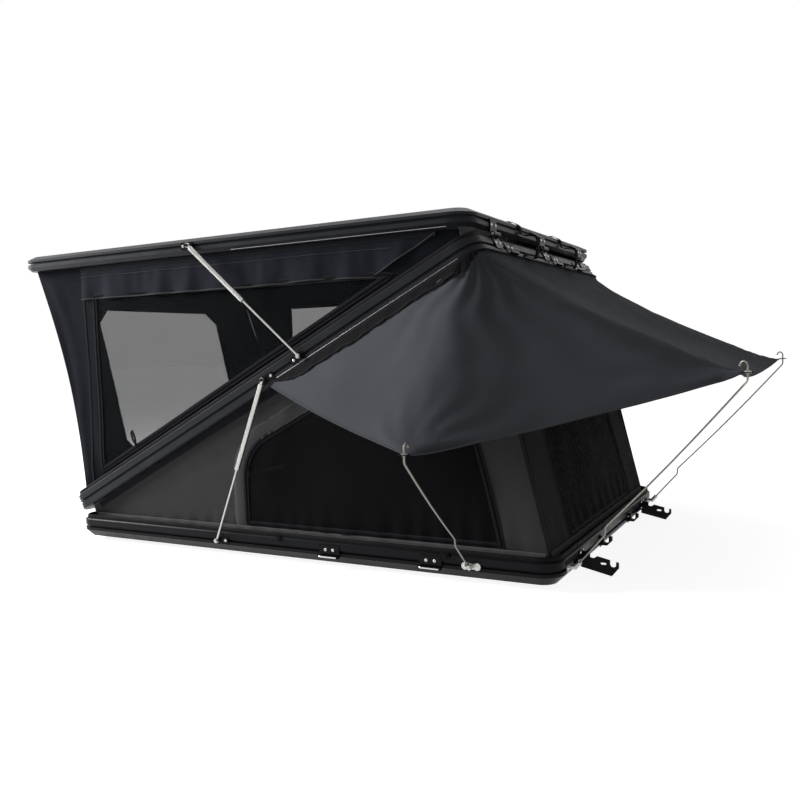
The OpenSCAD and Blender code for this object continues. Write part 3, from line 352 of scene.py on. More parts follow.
class Shape:
    """Points and faces of one piece, added part by part."""

    def __init__(self):
        self.points, self.faces, self.looks, self.uv = [], [], [], []

    def add(self, points, faces, look=0, uv=None):
        start = len(self.points)
        self.points += [tuple(p) for p in points]
        self.uv += list(uv) if uv is not None else [(0.0, 0.0)] * len(points)
        self.faces += [tuple(start + i for i in f) for f in faces]
        self.looks += [look] * len(faces)

    def slab(self, grid, thick, keep=None):
        """A sheet with closed edges, from rows of points; keep says which cells are there."""
        g = np.array(grid, float)
        n, m = g.shape[:2]
        normal = unit(np.cross(np.gradient(g, axis=0), np.gradient(g, axis=1)))
        flat, under = g.reshape(-1, 3), (g - thick * normal).reshape(-1, 3)
        steps = np.concatenate([[0], np.cumsum(norm(np.diff(g[:, 0], axis=0), axis=1))])
        rows = np.linspace(0, 1, m)
        uv = [(steps[i], rows[j]) for i in range(n) for j in range(m)]
        top, edges = [], {}
        for i in range(n - 1):
            for j in range(m - 1):
                if keep is not None and not keep[i][j]:
                    continue
                a = i * m + j
                quad = (a, a + m, a + m + 1, a + 1)
                top.append(quad)
                for e in zip(quad, quad[1:] + quad[:1]):
                    edges[e] = edges.get((e[1], e[0]), 0) + 1
                    if (e[1], e[0]) in edges:
                        edges[(e[1], e[0])] = edges[e] = 2
        total = n * m
        faces = top + [tuple(total + k for k in reversed(q)) for q in top]
        faces += [(b, a, total + a, total + b) for (a, b), uses in edges.items() if uses == 1]
        used = sorted({k for f in faces for k in f})
        place = {k: i for i, k in enumerate(used)}
        both, all_uv = np.concatenate([flat, under]), uv + uv
        kept = [tuple(place[k] for k in f) for f in faces]
        self.add([both[k] for k in used], kept, 0, [all_uv[k] for k in used])

    def ribbon(self, path, normals, width, thick, look=0, closed=False):
        """A flat tape along a path, lying on a surface with these normals."""
        p = np.array(path, float)
        up = np.broadcast_to(np.array(normals, float), p.shape).copy()
        across = unit(np.cross(headings(p, closed), up))
        up /= norm(up, axis=1, keepdims=True)
        along = np.concatenate([[0], np.cumsum(norm(np.diff(p, axis=0), axis=1))])
        section = [(-0.5, 0.0, 0.0), (-0.46, 1.0, 0.06), (0.46, 1.0, 0.94), (0.5, 0.0, 1.0)]
        pts, uv = [], []
        for i in range(len(p)):
            for s, h, v in section:
                pts.append(p[i] + across[i] * s * width + up[i] * h * thick)
                uv.append((along[i], v))
        self.add(pts, joined(len(p), len(section), closed), look, uv)

    def tube(self, path, radius, look=0, sides=8, closed=False):
        """A round cord or wire along a path."""
        p = np.array(path, float)
        ahead = unit(headings(p, closed))
        side = np.cross(ahead[0], (0.31, 0.17, 0.93))
        turns = [2 * pi * k / sides for k in range(sides)]
        pts = []
        for i in range(len(p)):
            side = side - ahead[i] * np.dot(side, ahead[i])
            side /= norm(side)
            up = np.cross(ahead[i], side)
            pts += [p[i] + radius * (cos(a) * side + sin(a) * up) for a in turns]
        self.add(pts, joined(len(p), sides, closed), look)

    def turned_part(self, centre, normal, profile, sides=20):
        """A round part from (radius, height) pairs, standing on centre along normal."""
        n = Vector(normal).normalized()
        spin = n.to_track_quat("Z", "Y").to_matrix()
        pts = []
        for r, h in profile:
            for k in range(sides):
                a = 2 * pi * k / sides
                pts.append(Vector(centre) + spin @ Vector((r * cos(a), r * sin(a), h)))
        self.add(pts, joined(len(profile), sides))

    def bolt(self, centre, normal, r):
        """A button head screw with a socket, on a washer."""
        washer = [(1.35 * r, 0), (1.35 * r, 0.2 * r)]
        head = [(r, 0.22 * r), (0.97 * r, 0.45 * r), (0.8 * r, 0.72 * r), (0.5 * r, 0.82 * r)]
        socket = [(0.46 * r, 0.8 * r), (0.42 * r, 0.35 * r)]
        self.turned_part(centre, normal, washer + head + socket, 18)

    def build(self, name, *looks):
        mesh = bpy.data.meshes.new(name)
        mesh.from_pydata(self.points, [], self.faces)
        layer = mesh.uv_layers.new(name="UVMap")
        corners = np.zeros(len(mesh.loops), int)
        mesh.loops.foreach_get("vertex_index", corners)
        layer.data.foreach_set("uv", np.array(self.uv, float)[corners].ravel())
        for look in looks:
            mesh.materials.append(LOOK[look])
        mesh.polygons.foreach_set("material_index", self.looks)
        mesh.polygons.foreach_set("use_smooth", [True] * len(self.faces))
        mesh.set_sharp_from_angle(angle=radians(50))
        mesh.validate()
        obj = bpy.data.objects.new(name, mesh)
        bpy.context.scene.collection.objects.link(obj)
        return obj


def sheet_of(grid, thick, name, look, keep=None):
    shape = Shape()
    shape.slab(grid, thick, keep)
    return shape.build(name, look)


# How pieces are held: each is fixed to a body and given a mesh of its own; the fold shares and rest height
# below are not used
LOW_KEEP, HIGH_KEEP, COVER_KEEP, FOLD_REST = 0.015, 0.010, 0.035, 0.002


def fixed(obj, body):
    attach(obj, body)


def held_low(obj, slot):
    fixed(obj, "base")
    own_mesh(obj)
    return obj


def held_high(obj, slot):
    anchor = lift(mid, (0, 0, MID_TOP + FOLD_REST))
    fixed(obj, "middle")
    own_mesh(obj)
    return obj


def held_roof(obj):
    fixed(obj, "roof")
    lift(roof, (0, 0, ROOF_LOW))
    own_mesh(obj)
    return obj


# Grids of cloth and paths on them
def grid_of(point, n, m):
    """Rows of points from a function of two shares."""
    return [[point(i / n, j / m) for j in range(m + 1)] for i in range(n + 1)]


def split(grid, outline, axes):
    """Which cells of a grid lie in an outline."""
    g = np.array(grid, float)
    c = ((g[:-1, :-1] + g[1:, :-1] + g[:-1, 1:] + g[1:, 1:]) / 4)[:, :, axes]
    return [[inside(c[i, j], outline) for j in range(c.shape[1])] for i in range(c.shape[0])]


def opposite(keep):
    return [[not k for k in row] for row in keep]


def flip_y(grid):
    return [[(p[0], -p[1], p[2]) for p in row] for row in grid]


def on_side(rows, side):
    """Rows made for the near side, or their mirror image on the far side."""
    return rows if side < 0 else flip_y(rows)[::-1]


def dense(points, step=0.02):
    """More points along a path, evenly."""
    out = [points[0]]
    for a, b in zip(points, points[1:]):
        a, b = np.array(a, float), np.array(b, float)
        n = max(1, int(norm(b - a) / step))
        out += [tuple(a + (b - a) * (i + 1) / n) for i in range(n)]
    return out


def ring_of(outline):
    return dense(outline + outline[:1])[:-1]


def grown(outline, distance):
    """A closed outline moved outward by a distance."""
    n, out = len(outline), []
    area = sum(x0 * z1 - x1 * z0 for (x0, z0), (x1, z1) in zip(outline, outline[1:] + outline[:1]))
    sign = 1 if area > 0 else -1
    for i in range(n):
        p, q, r = (np.array(outline[k % n]) for k in (i - 1, i, i + 1))
        u, v = (q - p) / norm(q - p), (r - q) / norm(r - q)
        nu, nv = np.array((u[1], -u[0])), np.array((v[1], -v[0]))
        w = (nu + nv) / max(0.5, 1 + float(nu @ nv))
        out.append(tuple(q + sign * distance * w))
    return out


def nearest(cloud, axis, a, z):
    """A cloth's nearest point to a place of the side or end view."""
    return cloud[int(np.argmin((cloud[:, axis] - a) ** 2 + (cloud[:, 2] - z) ** 2))]


def on_wall(points, cloud, side, proud):
    """Places of the side view, laid on a side wall."""
    return [(x, side * (-nearest(cloud, 0, x, z)[1] + proud), z) for x, z in points]


def on_end(points, cloud, proud):
    """Places of the end view, laid on an end wall."""
    return [(nearest(cloud, 1, y, z)[0] + proud, y, z) for y, z in points]


def cut_wall(grid, hole, held, wall_name, wall_look, mesh_name, mesh_look):
    """A wall's cloth, and the mesh in its opening."""
    wall = held(sheet_of(grid, CLOTH, wall_name, wall_look, opposite(hole)), "wall_cloth")
    return wall, held(sheet_of(grid, MESH, mesh_name, mesh_look, hole), "mesh")


def end_trim(outline, cloud, out, sign):
    """The binding and the cord round an end wall's window."""
    trim = Shape()
    ring = ring_of(outline)
    trim.ribbon(on_end(ring, cloud, sign * 0.0012), out, width=0.030, thick=0.002, closed=True)
    trim.tube(on_end(ring, cloud, sign * 0.0036), radius=0.0025, look=1, closed=True)
    return trim


# Lower side walls with their doors
LOW_CORNERS = [
    (-WALL_TIP, BASE_TOP + SEAT), (WALL_X, BASE_TOP + SEAT),
    mid(WALL_X, MID_LOW - SEAT), mid(-WALL_TIP, MID_LOW - SEAT),
]
FOOT_REAR, FOOT_FRONT, HEAD_FRONT, HEAD_REAR = (np.array(c) for c in LOW_CORNERS)
DOOR_REAR, DOOR_SILL, DOOR_FRONT_MARGIN, DOOR_TOP_MARGIN, DOOR_ARCH = -0.185, 0.034, 0.155, 0.150, 0.19
PULL_TAB = ((0.004, 0.004), (0.010, 0.03), (0.008, 0.05))
DIAGONAL = (cos(LOWER_ANGLE), sin(LOWER_ANGLE))
slope = HEAD_FRONT - FOOT_FRONT
slope = tuple(slope / norm(slope))
door_foot, door_head = (DOOR_REAR, BASE_TOP + DOOR_SILL), mid(0, MID_LOW - DOOR_TOP_MARGIN)
door_front = (WALL_X - DOOR_FRONT_MARGIN, BASE_TOP)
corner = meet(door_foot, (0, 1), door_head, DIAGONAL)
cut = DOOR_ARCH * tan((pi / 2 - LOWER_ANGLE) / 2)
DOOR = [meet(door_foot, (1, 0), door_front, slope), door_foot]
DOOR += arc((corner[0] + DOOR_ARCH, corner[1] - cut), DOOR_ARCH, pi, pi / 2 + LOWER_ANGLE, 14)
DOOR += [meet(door_head, DIAGONAL, door_front, slope)]


def low_out(x, z, u, v):
    """How far the lower wall bellies out."""
    hold = smooth(v / 0.12) * smooth((1 - v) / 0.12) * smooth(u / 0.1) * smooth((1 - u) / 0.05)
    belly = 0.010 * wobble(1.3 * x + 3, 1.7 * z) + 0.006 * wobble(4 * x, 3 * z + 7)
    creases = 0.0022 * sin(46 * (z - 0.5 * x) + 4 * wobble(x, z)) * smooth(1 - abs(v - 0.8) / 0.3)
    pleats = 0.0028 * sin(70 * x + 5 * wobble(3 * x, 1.0)) * smooth(1 - v / 0.25) * smooth(v / 0.03)
    return hold * (belly + creases) + pleats * smooth((1 - u) / 0.05) + 0.004 * hold


def low_point(u, v):
    p = FOOT_REAR + (FOOT_FRONT - FOOT_REAR) * u
    q = HEAD_REAR + (HEAD_FRONT - HEAD_REAR) * u
    x, z = p + (q - p) * v
    return (x, -WALL_Y - low_out(x, z, u, v), z)


low_grid = grid_of(low_point, 150, 70)
low_door = split(low_grid, DOOR, [0, 2])
low_cloud = np.array(low_grid).reshape(-1, 3)
for side, tag in SIDES:
    grid = on_side(low_grid, side)
    doors = low_door if side < 0 else low_door[::-1]
    look = "door" if side < 0 else "closed_door"
    wall, door = cut_wall(grid, doors, held_low, "lower_wall_" + tag, "lower", "door_" + tag, look)
    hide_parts("lower_side_walls")
    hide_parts("door_meshes")
    out = (0, side, 0)
    trim = Shape()
    border = on_wall(dense(grown(DOOR, 0.030)[1:]), low_cloud, side, proud=0.0015)
    trim.ribbon(border, out, width=0.066, thick=0.0016)
    ring = ring_of(DOOR)
    binding = on_wall(ring, low_cloud, side, proud=0.0012)
    trim.ribbon(binding, out, width=0.024, thick=0.0026, look=1, closed=True)
    trim.tube(on_wall(ring, low_cloud, side, proud=0.0042), radius=0.0028, look=2, closed=True)
    foot_z, head_z = BASE_TOP + 0.014, MID_LOW - 0.014
    foot = dense([(-WALL_TIP + 0.02, foot_z), (WALL_X - 0.01, foot_z)], step=0.03)
    trim.ribbon(on_wall(foot, low_cloud, side, proud=0.0062), out, width=0.022, thick=0.002, look=3)
    head = dense([mid(-WALL_TIP + 0.04, head_z), mid(WALL_X - 0.01, head_z)], step=0.03)
    trim.ribbon(on_wall(head, low_cloud, side, proud=0.002), out, width=0.024, thick=0.0018, look=1)
    for x, z in (DOOR[6], mid(0.30, MID_LOW - 0.06)):
        tab = dense([(x + dx, z - dz) for dx, dz in PULL_TAB], step=0.008)
        trim.ribbon(on_wall(tab, low_cloud, side, proud=0.006), out, width=0.007, thick=0.0015, look=2)
    trim = held_low(trim.build("lower_trim_" + tag, "band", "tape", "webbing", "hem"), "webbing")

# Front wall with its window
FRONT_FOOT, FRONT_HEAD = np.array((WALL_X, BASE_TOP + SEAT)), np.array(mid(WALL_X, MID_LOW - 0.002))
FRONT_OUT = (1, 0, 0.24)
FRONT_WINDOW = [
    (-0.45, 0.135), (-0.435, 0.122), (0.435, 0.122), (0.45, 0.135),
    (0.45, 0.90), (0.40, 0.95), (-0.40, 0.95), (-0.45, 0.90),
]
END_HALF = WALL_Y - 0.003


def front_point(u, v):
    s = -1 + 2 * u
    y = s * END_HALF
    x, z = FRONT_FOOT + (FRONT_HEAD - FRONT_FOOT) * v
    hold = smooth(v / 0.08) * smooth((1 - v) / 0.08)
    draw = 0.026 * sin(pi * v) * abs(s) ** 6
    belly = hold * (0.006 * wobble(2.2 * y + 5, 2 * z) + 0.003 * wobble(6 * y, 4 * z))
    pleats = 0.0025 * sin(60 * y + 5 * wobble(3 * y, 2.0)) * smooth(1 - v / 0.2) * smooth(v / 0.03)
    squeeze = 1 - 0.028 * sin(pi * v) * smooth((abs(s) - 0.6) / 0.4)
    return (x + belly + pleats - 0.3 * draw, y * squeeze, z)


grid = grid_of(front_point, 100, 70)
cloud = np.array(grid).reshape(-1, 3)
hole = split(grid, FRONT_WINDOW, [1, 2])
wall, window = cut_wall(grid, hole, held_low, "lower_wall_front", "front", "front_window", "front_window")
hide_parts("lower_front_wall")
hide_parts("front_window_mesh")
trim = end_trim(FRONT_WINDOW, cloud, FRONT_OUT, 1)
for y in (-0.66, 0.66):
    seam = dense([(y, 0.11), (y, 1.08)], step=0.03)
    trim.ribbon(on_end(seam, cloud, proud=0.001), FRONT_OUT, width=0.010, thick=0.0010)
foot = dense([(-0.70, BASE_TOP + 0.012), (0.70, BASE_TOP + 0.012)], step=0.03)
trim.ribbon(on_end(foot, cloud, proud=0.0035), FRONT_OUT, width=0.024, thick=0.002, look=2)
trim = held_low(trim.build("front_trim", "front", "webbing", "hem"), "webbing")

# Upper side walls with their windows
UP_FOOT, UP_HEAD = np.array(mid(-WALL_X, MID_TOP + SEAT)), np.array(roof(-WALL_X, ROOF_LOW - SEAT))
UP_TIP_LOW = np.array(mid(WALL_TIP, MID_TOP + SEAT))
UP_TIP_HIGH = np.array(roof(WALL_TIP, ROOF_LOW - SEAT))
WINDOW_REAR_MARGIN, WINDOW_TOP_MARGIN, WINDOW_LOW_MARGIN = 0.115, 0.128, 0.045
window_rear, window_top = UP_FOOT[0] + WINDOW_REAR_MARGIN, UP_HEAD[1] - WINDOW_TOP_MARGIN
window_low = mid(0, MID_TOP + WINDOW_LOW_MARGIN)
WINDOW = [
    meet(window_low, DIAGONAL, (window_rear, 0), (0, 1)),
    (window_rear, window_top),
    meet(window_low, DIAGONAL, (0, window_top), (1, 0)),
]
# A toggle strap in the window's rear corner: its place in the window, then its loop
TOGGLE = (0.205, 0.118)
TOGGLE_LOOP = ((0, 0), (-0.004, 0.03), (-0.016, 0.058), (-0.024, 0.05), (-0.016, 0.02), (0.002, -0.006))
SEAM = ((0.05, UP_FOOT[1] + 0.05), (0.055, 0.75), (0.045, 1.13))


def up_point(u, v):
    p = UP_FOOT + (UP_TIP_LOW - UP_FOOT) * u
    q = UP_HEAD + (UP_TIP_HIGH - UP_HEAD) * u
    x, z = p + (q - p) * v
    x += REAR_DRAW * sin(pi * v) * (1 - u) ** 5
    hold = smooth(v / 0.1) * smooth((1 - v) / 0.1) * smooth(u / 0.02) * smooth((1 - u) / 0.1)
    belly = 0.008 * wobble(1.5 * x + 9, 1.9 * z) + 0.004 * wobble(4 * x, 4 * z + 3)
    rear = 0.004 * sin(90 * u + 6 * wobble(2 * x, 3 * z)) * smooth(1 - u / 0.09) * hold
    return (x, -WALL_Y - hold * (belly + 0.003) - rear, z)


up_grid = grid_of(up_point, 150, 72)
up_window = split(up_grid, WINDOW, [0, 2])
up_cloud = np.array(up_grid).reshape(-1, 3)
for side, tag in SIDES:
    grid = on_side(up_grid, side)
    holes = up_window if side < 0 else up_window[::-1]
    names = ("upper_wall_" + tag, "upper", "side_window_" + tag, "window")
    wall, window = cut_wall(grid, holes, held_high, *names)
    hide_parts("upper_side_walls")
    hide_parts("side_window_meshes")
    out = (0, side, 0)
    trim = Shape()
    ring = ring_of(WINDOW)
    trim.ribbon(on_wall(ring, up_cloud, side, proud=0.0012), out, width=0.026, thick=0.002, closed=True)
    trim.tube(on_wall(ring, up_cloud, side, proud=0.0036), radius=0.0022, look=1, closed=True)
    seam = dense([(UP_FOOT[0] + dx, z) for dx, z in SEAM], step=0.03)
    trim.ribbon(on_wall(seam, up_cloud, side, proud=0.001), out, width=0.012, thick=0.0014)
    foot = dense([mid(-WALL_X + 0.03, MID_TOP + 0.012), mid(WALL_TIP - 0.12, MID_TOP + 0.012)], step=0.03)
    trim.ribbon(on_wall(foot, up_cloud, side, proud=0.0025), out, width=0.022, thick=0.002)
    x, z = WINDOW[0][0] + TOGGLE[0], WINDOW[0][1] + TOGGLE[1]
    loop = dense([(x + dx, z + dz) for dx, dz in TOGGLE_LOOP], step=0.008)
    trim.ribbon(on_wall(loop, up_cloud, side, proud=0.006), out, width=0.010, thick=0.002, look=1)
    trim = held_high(trim.build("upper_trim_" + tag, "tape", "webbing"), "webbing")

# Rear wall with its window
REAR_OUT = (-1, 0, -0.28)
REAR_WINDOW = [
    (-0.435, 0.40), (-0.38, 0.335), (0.38, 0.335), (0.435, 0.40),
    (0.435, 0.97), (0.36, 1.04), (-0.36, 1.04), (-0.435, 0.97),
]


def rear_point(u, v):
    s = 1 - 2 * u
    y = s * END_HALF
    x, z = UP_FOOT + (UP_HEAD - UP_FOOT) * (0.0025 + 0.9975 * v)
    bow = sin(pi * v)
    reach = REAR_DRAW * (abs(s) ** 2.5 * 1.35 - 0.35)
    hold = smooth(v / 0.08) * smooth((1 - v) / 0.08)
    belly = hold * (0.006 * wobble(2 * y + 2, 2 * z) + 0.003 * wobble(6 * y, 5 * z))
    folds = 0.004 * sin(80 * abs(s) + 5 * wobble(y, 2 * z)) * smooth((abs(s) - 0.75) / 0.2)
    return (x + bow * reach - belly - folds * hold * smooth((1 - abs(s)) / 0.04), y, z)


grid = grid_of(rear_point, 100, 70)
cloud = np.array(grid).reshape(-1, 3)
hole = split(grid, REAR_WINDOW, [1, 2])
wall, window = cut_wall(grid, hole, held_high, "rear_wall_cloth", "rear", "rear_window", "end_window")
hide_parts("rear_wall")
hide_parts("rear_window_mesh")
trim = end_trim(REAR_WINDOW, cloud, REAR_OUT, -1)
foot = dense([(-0.69, UP_FOOT[1] + 0.018), (0.69, UP_FOOT[1] + 0.018)], step=0.03)
trim.ribbon(on_end(foot, cloud, proud=-0.002), REAR_OUT, width=0.024, thick=0.002)
trim = held_high(trim.build("rear_trim", "tape", "webbing"), "webbing")

# Covers that hang below the roof over the side windows
COVER_REAR, COVER_DROP, COVER_SLACK, COVER_OFFSET = -0.754, 0.14, 0.045, 0.0105
COVER_TIP = FRONT_AXIS[0] - (0.03 + COVER_SLACK) / tan(UPPER_ANGLE)
CORD_DROP, CORD_STEPS, CORD_END = 0.045, 110, 100


def cover_x(s):
    return COVER_REAR + (COVER_TIP - COVER_REAR) * s


def cover_drop(s):
    """The cover's height, cut short toward the front."""
    room = (FRONT_AXIS[0] - cover_x(s)) * tan(UPPER_ANGLE)
    return min(COVER_DROP, room - 0.01 * (1 + 1 / cos(UPPER_ANGLE)) - COVER_SLACK)


def cover_point(s, t):
    drop = cover_drop(s)
    wave = 0.0055 * sin(2 * pi * (9 * s + 0.4 * wobble(6 * s, 1.0)) + 0.6 * t) * t
    wave += 0.003 * sin(2 * pi * 23 * s + 3 * wobble(9 * s, 4.0)) * t * (1 - t)
    sag = 0.006 * wobble(5 * s, 8.0) * t
    x, z = roof(cover_x(s), ROOF_LOW - SEAT - drop * t - sag * smooth(drop / 0.1))
    return (x, -WALL_Y - COVER_OFFSET - wave, z)


def cord_point(i):
    s = i / CORD_STEPS
    return cover_point(s, min(0.9, CORD_DROP / cover_drop(s)))


cover_grid = [row[::-1] for row in grid_of(cover_point, 220, 16)]
for side, tag in SIDES:
    grid = on_side(cover_grid, side)
    cover = held_roof(sheet_of(grid, CLOTH, "window_cover_" + tag, "cover"))
    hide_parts("window_covers")
    hem = Shape()
    hem.tube([(x, y + side * 0.001, z) for x, y, z in (row[0] for row in grid)], radius=0.0028, sides=6)
    top = [(x, y + side * 0.0012, z - 0.012) for x, y, z in (row[-1] for row in grid)]
    hem.ribbon(top, (0, side, 0), width=0.02, thick=0.0015, look=1)
    cord = [cord_point(i) for i in range(CORD_END)]
    hem.tube([(x, side * (-y + 0.0016), z) for x, y, z in cord], radius=0.0014, sides=6)
    hem = held_roof(hem.build("cover_hem_" + tag, "band", "tape"))

# Awning: one sheet from the middle frame to its free edge, near half then far half
FRAME_EDGE = mid(HALF_LENGTH, MID_LOW)
SIDE_CORNER = np.array((FRAME_EDGE[0] - 0.006, -HALF_WIDTH - 0.54, FRAME_EDGE[1] - 0.606))
FRONT_CORNER = np.array((FRAME_EDGE[0] + 0.801, -HALF_WIDTH - 0.044, FRAME_EDGE[1] - 0.409))
KEDER, KEDER_OUT = MID_LOW + 0.008, 0.0018
AWNING_ROWS, RIDGE_PASSES = 48, 36
BLEND = (lift(mid, (0, 0, MID_LOW - 0.01)), lift(mid, (0, 0, MID_LOW - 0.36)))


def keder(x, y):
    return np.array(lift(mid, (x, y, KEDER)))


def keder_at(s):
    """Along the frame: 0 to 1 down the side, 1 to 2 round the corner, 2 to 3 to the front's middle."""
    straight = HALF_LENGTH - CORNER_RADIUS
    if s <= 1:
        return keder(AWNING_START + (straight - AWNING_START) * s, -HALF_WIDTH - KEDER_OUT)
    if s <= 2:
        a, r = pi / 2 * (s - 2), CORNER_RADIUS + KEDER_OUT
        return keder(straight + r * cos(a), CORNER_RADIUS - HALF_WIDTH + r * sin(a))
    return keder(HALF_LENGTH + KEDER_OUT, (CORNER_RADIUS - HALF_WIDTH) * (3 - s))


TAIL = keder_at(0) - (0, 0.02, 0.02)


def free_at(s):
    """Along the free edge: tail, side corner, front corner, front's middle."""
    if s <= 1:
        return TAIL + (SIDE_CORNER - TAIL) * s - (0, 0, 0.014 * sin(pi * s))
    if s <= 2:
        bow = max(0.0, sin(pi * (s - 1)))
        hang = np.array((-0.02 * bow, 0.015 * bow, -0.0225 * bow ** 0.6))
        return SIDE_CORNER + (FRONT_CORNER - SIDE_CORNER) * (s - 1) + hang
    middle = np.array((FRONT_CORNER[0], 0, FRONT_CORNER[2]))
    hang = np.array((0.030, 0, 0.036)) * sin(pi / 2 * (s - 2)) ** 0.7
    return FRONT_CORNER + (middle - FRONT_CORNER) * (s - 2) - hang


def reach_at(s):
    return min(1.0, float(norm(free_at(s) - keder_at(s))) / 0.8)


def pulls(p, centre, toward, up, count, length):
    """Fine creases that run out from a held corner."""
    q = p - centre
    r = float(norm(q))
    e = np.array(toward, float) - centre
    e /= norm(e)
    f = np.cross(up, e)
    angle = atan2(float(q @ f), float(q @ e))
    return smooth(r / 0.06) * exp(-r / length) * sin(count * angle + 2 * wobble(6 * r, count))


def awning_base(s, t):
    """The sheet's point between frame and free edge, with its sag."""
    a, b = keder_at(s), free_at(s)
    p = a + (b - a) * t
    sag = 0.022 * sin(pi * t) * reach_at(s)
    ridge = 0.036 * sin(pi * sqrt(t))
    sag += (ridge - sag) * smooth(s - 1)
    if s > 2:
        sag += 0.03 * sin(pi * t ** 0.8) * smooth((s - 2) / 0.8)
    elif s > 1:
        sag += 0.010 * sin(pi * t) * sin(pi * (s - 1))
    soft = 0.006 * wobble(2.4 * p[0], 2.4 * p[1], 1.5) * sin(pi * t) * reach_at(s)
    return p - (0, 0, sag - soft)


def awning_up(s):
    """About the way that the side, hip and front panels face."""
    panel = (-0.24, -0.48, 0.45) if s < 1 else (0.18, -0.47, 0.45) if s < 2 else (0.4, 0, 0.8)
    return np.array(panel) / norm(panel)


def creased(s, t, p):
    """The sheet's point with the creases that run out from its held corners."""
    up = awning_up(s)
    crease = 0.007 * pulls(p, SIDE_CORNER, keder_at(1), up, 17, 0.15)
    crease += 0.007 * pulls(p, FRONT_CORNER, keder_at(2), up, 17, 0.17)
    crease += 0.006 * pulls(p, keder_at(1.5), (SIDE_CORNER + FRONT_CORNER) / 2, up, 17, 0.30)
    crease += 0.003 * pulls(p, keder_at(0.02), SIDE_CORNER, up, 13, 0.2)
    return tuple(p + up * smooth(t / 0.06) * crease * reach_at(s))


def awning_point(s, t):
    return creased(s, t, awning_base(s, t))


def rounded(g, stops):
    """Softens the ridges: points near them move toward their neighbours."""
    t = np.linspace(0, 1, g.shape[1])
    ends = np.array([smooth(v / 0.12) * smooth((1 - v) / 0.10) for v in t])
    side_ridge = [smooth(1 - abs(v - 1) / 0.28) for v in stops]
    front_ridge = [0.8 * smooth(1 - abs(v - 2) / 0.22) for v in stops]
    near = np.maximum(side_ridge, front_ridge)
    for _ in range(RIDGE_PASSES):
        g[1:-1] += 0.5 * (near[1:-1, None] * ends)[:, :, None] * ((g[:-2] + g[2:]) / 2 - g[1:-1])
    return g


stops = [i / 40 for i in range(40)] + [1 + i / 36 for i in range(36)] + [2 + i / 34 for i in range(35)]
shares = [j / AWNING_ROWS for j in range(AWNING_ROWS + 1)]
half = rounded(np.array([[awning_base(s, t) for t in shares] for s in stops]), stops)
half = [[creased(s, t, p) for t, p in zip(shares, row)] for s, row in zip(stops, half)]
awning_grid = half + flip_y(half)[-2::-1]
awning = sheet_of([row[::-1] for row in awning_grid], CLOTH, "awning_sheet", "awning")
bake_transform(awning)
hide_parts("awning")
seams = Shape()
seams.tube([(x, y, z - 0.001) for x, y, z in (row[-1] for row in awning_grid)], radius=0.0032)
seams = seams.build("awning_seams", "awning")
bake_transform(seams)

# Dark strip that lies on the sheet along the awning's attachment, with a wavy lower edge: a painted shadow
# under the middle frame's lower edge
STRIP_DROP, STRIP_PROUD, STRIP_STEPS = 0.076, 0.0032, 260


def strip_row(s):
    near, far = np.array(awning_point(s, 0.0)), np.array(awning_point(s, 0.10))
    before, after = awning_point(max(0.0, s - 0.02), 0.04), awning_point(min(3.0, s + 0.02), 0.04)
    down = far - near
    n = np.cross(np.array(after) - np.array(before), down)
    n /= norm(n)
    n = n if n[2] > 0 else -n
    down /= norm(down)
    low = STRIP_DROP + 0.012 * wobble(9 * s, 5.0) + 0.008 * wobble(31 * s, 2.0)
    low *= smooth((s + 0.05) / 0.25) * (1 - 0.87 * smooth((s - 1.0) / 0.6))
    wave = (0.0022 + 0.0016 * sin(60 * s + 4 * wobble(11 * s, 2.0))) * smooth((2.4 - s) / 0.8)
    shares = (1, 0.75, 0.5, 0.25, 0)
    return [tuple(near + n * (STRIP_PROUD + wave * t) + down * (low * t - 0.001)) for t in shares]


rows = [strip_row(3 * i / STRIP_STEPS) for i in range(STRIP_STEPS + 1)]
# the strip in the dark webbing look: painted shadow
strip = sheet_of(rows + flip_y(rows)[-2::-1], 0.0009, "awning_strip", "webbing")
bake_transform(strip)

# Metal eyelets in the awning's corner discs, and the wire hooks of the poles' tips over them
EYELET = [(0.0105, 0), (0.0105, 0.0006), (0.0085, 0.0016), (0.006, 0.0014), (0.0048, 0.0002)]
HOOK_START, HOOK_TURN, HOOK_STEPS = -30, 200, 18
FRONT_WAY = (cos(EYELET_TURN), -sin(EYELET_TURN))
CORNERS = (("side", SIDE_CORNER, (0, -1)), ("front", FRONT_CORNER, FRONT_WAY))


def disc_middle(place, way, side):
    return np.array((place[0] + way[0] * EYELET_OUT, -side * (place[1] + way[1] * EYELET_OUT), place[2]))


rings = Shape()
for kind, place, way in CORNERS:
    for side, tag in SIDES:
        for z in (0.0015, -0.0025):
            rings.turned_part(disc_middle(place, way, side) + (0, 0, z), (0, 0, 1), EYELET, 24)
fixed(rings.build("awning_eyelets", "steel"), "base")
for kind, place, way in CORNERS:
    for side, tag in SIDES:
        start = disc_middle(place, way, side) + (0, 0, 0.014)
        inward = np.array((-way[0], side * way[1], 0))
        turns = [radians(HOOK_START + HOOK_TURN * k / HOOK_STEPS) for k in range(HOOK_STEPS + 1)]
        path = [start + inward * 0.013 * (1 - cos(a)) + (0, 0, 0.016 * sin(a)) for a in turns]
        hook = Shape()
        hook.tube(path, radius=0.0029, sides=10)
        fixed(hook.build("pole_hook_" + kind + "_" + tag, "wire"), kind + "_pole_" + tag)

# Bright bars on the side hook plates
BAR_Y, BAR_Z = HALF_WIDTH + 0.0176, BASE_LOW + 0.0152
BAR = ((-0.036, -0.002), (-0.033, 0), (0.033, 0), (0.036, -0.002))
bars = Shape()
for side, tag in SIDES:
    for x in HOOK_PLATES_X:
        path = [(x + dx, side * (BAR_Y + dy), BAR_Z) for dx, dy in BAR]
        bars.tube(dense(path, step=0.006), radius=0.0032, sides=10)
fixed(bars.build("hook_bars", "steel"), "base")
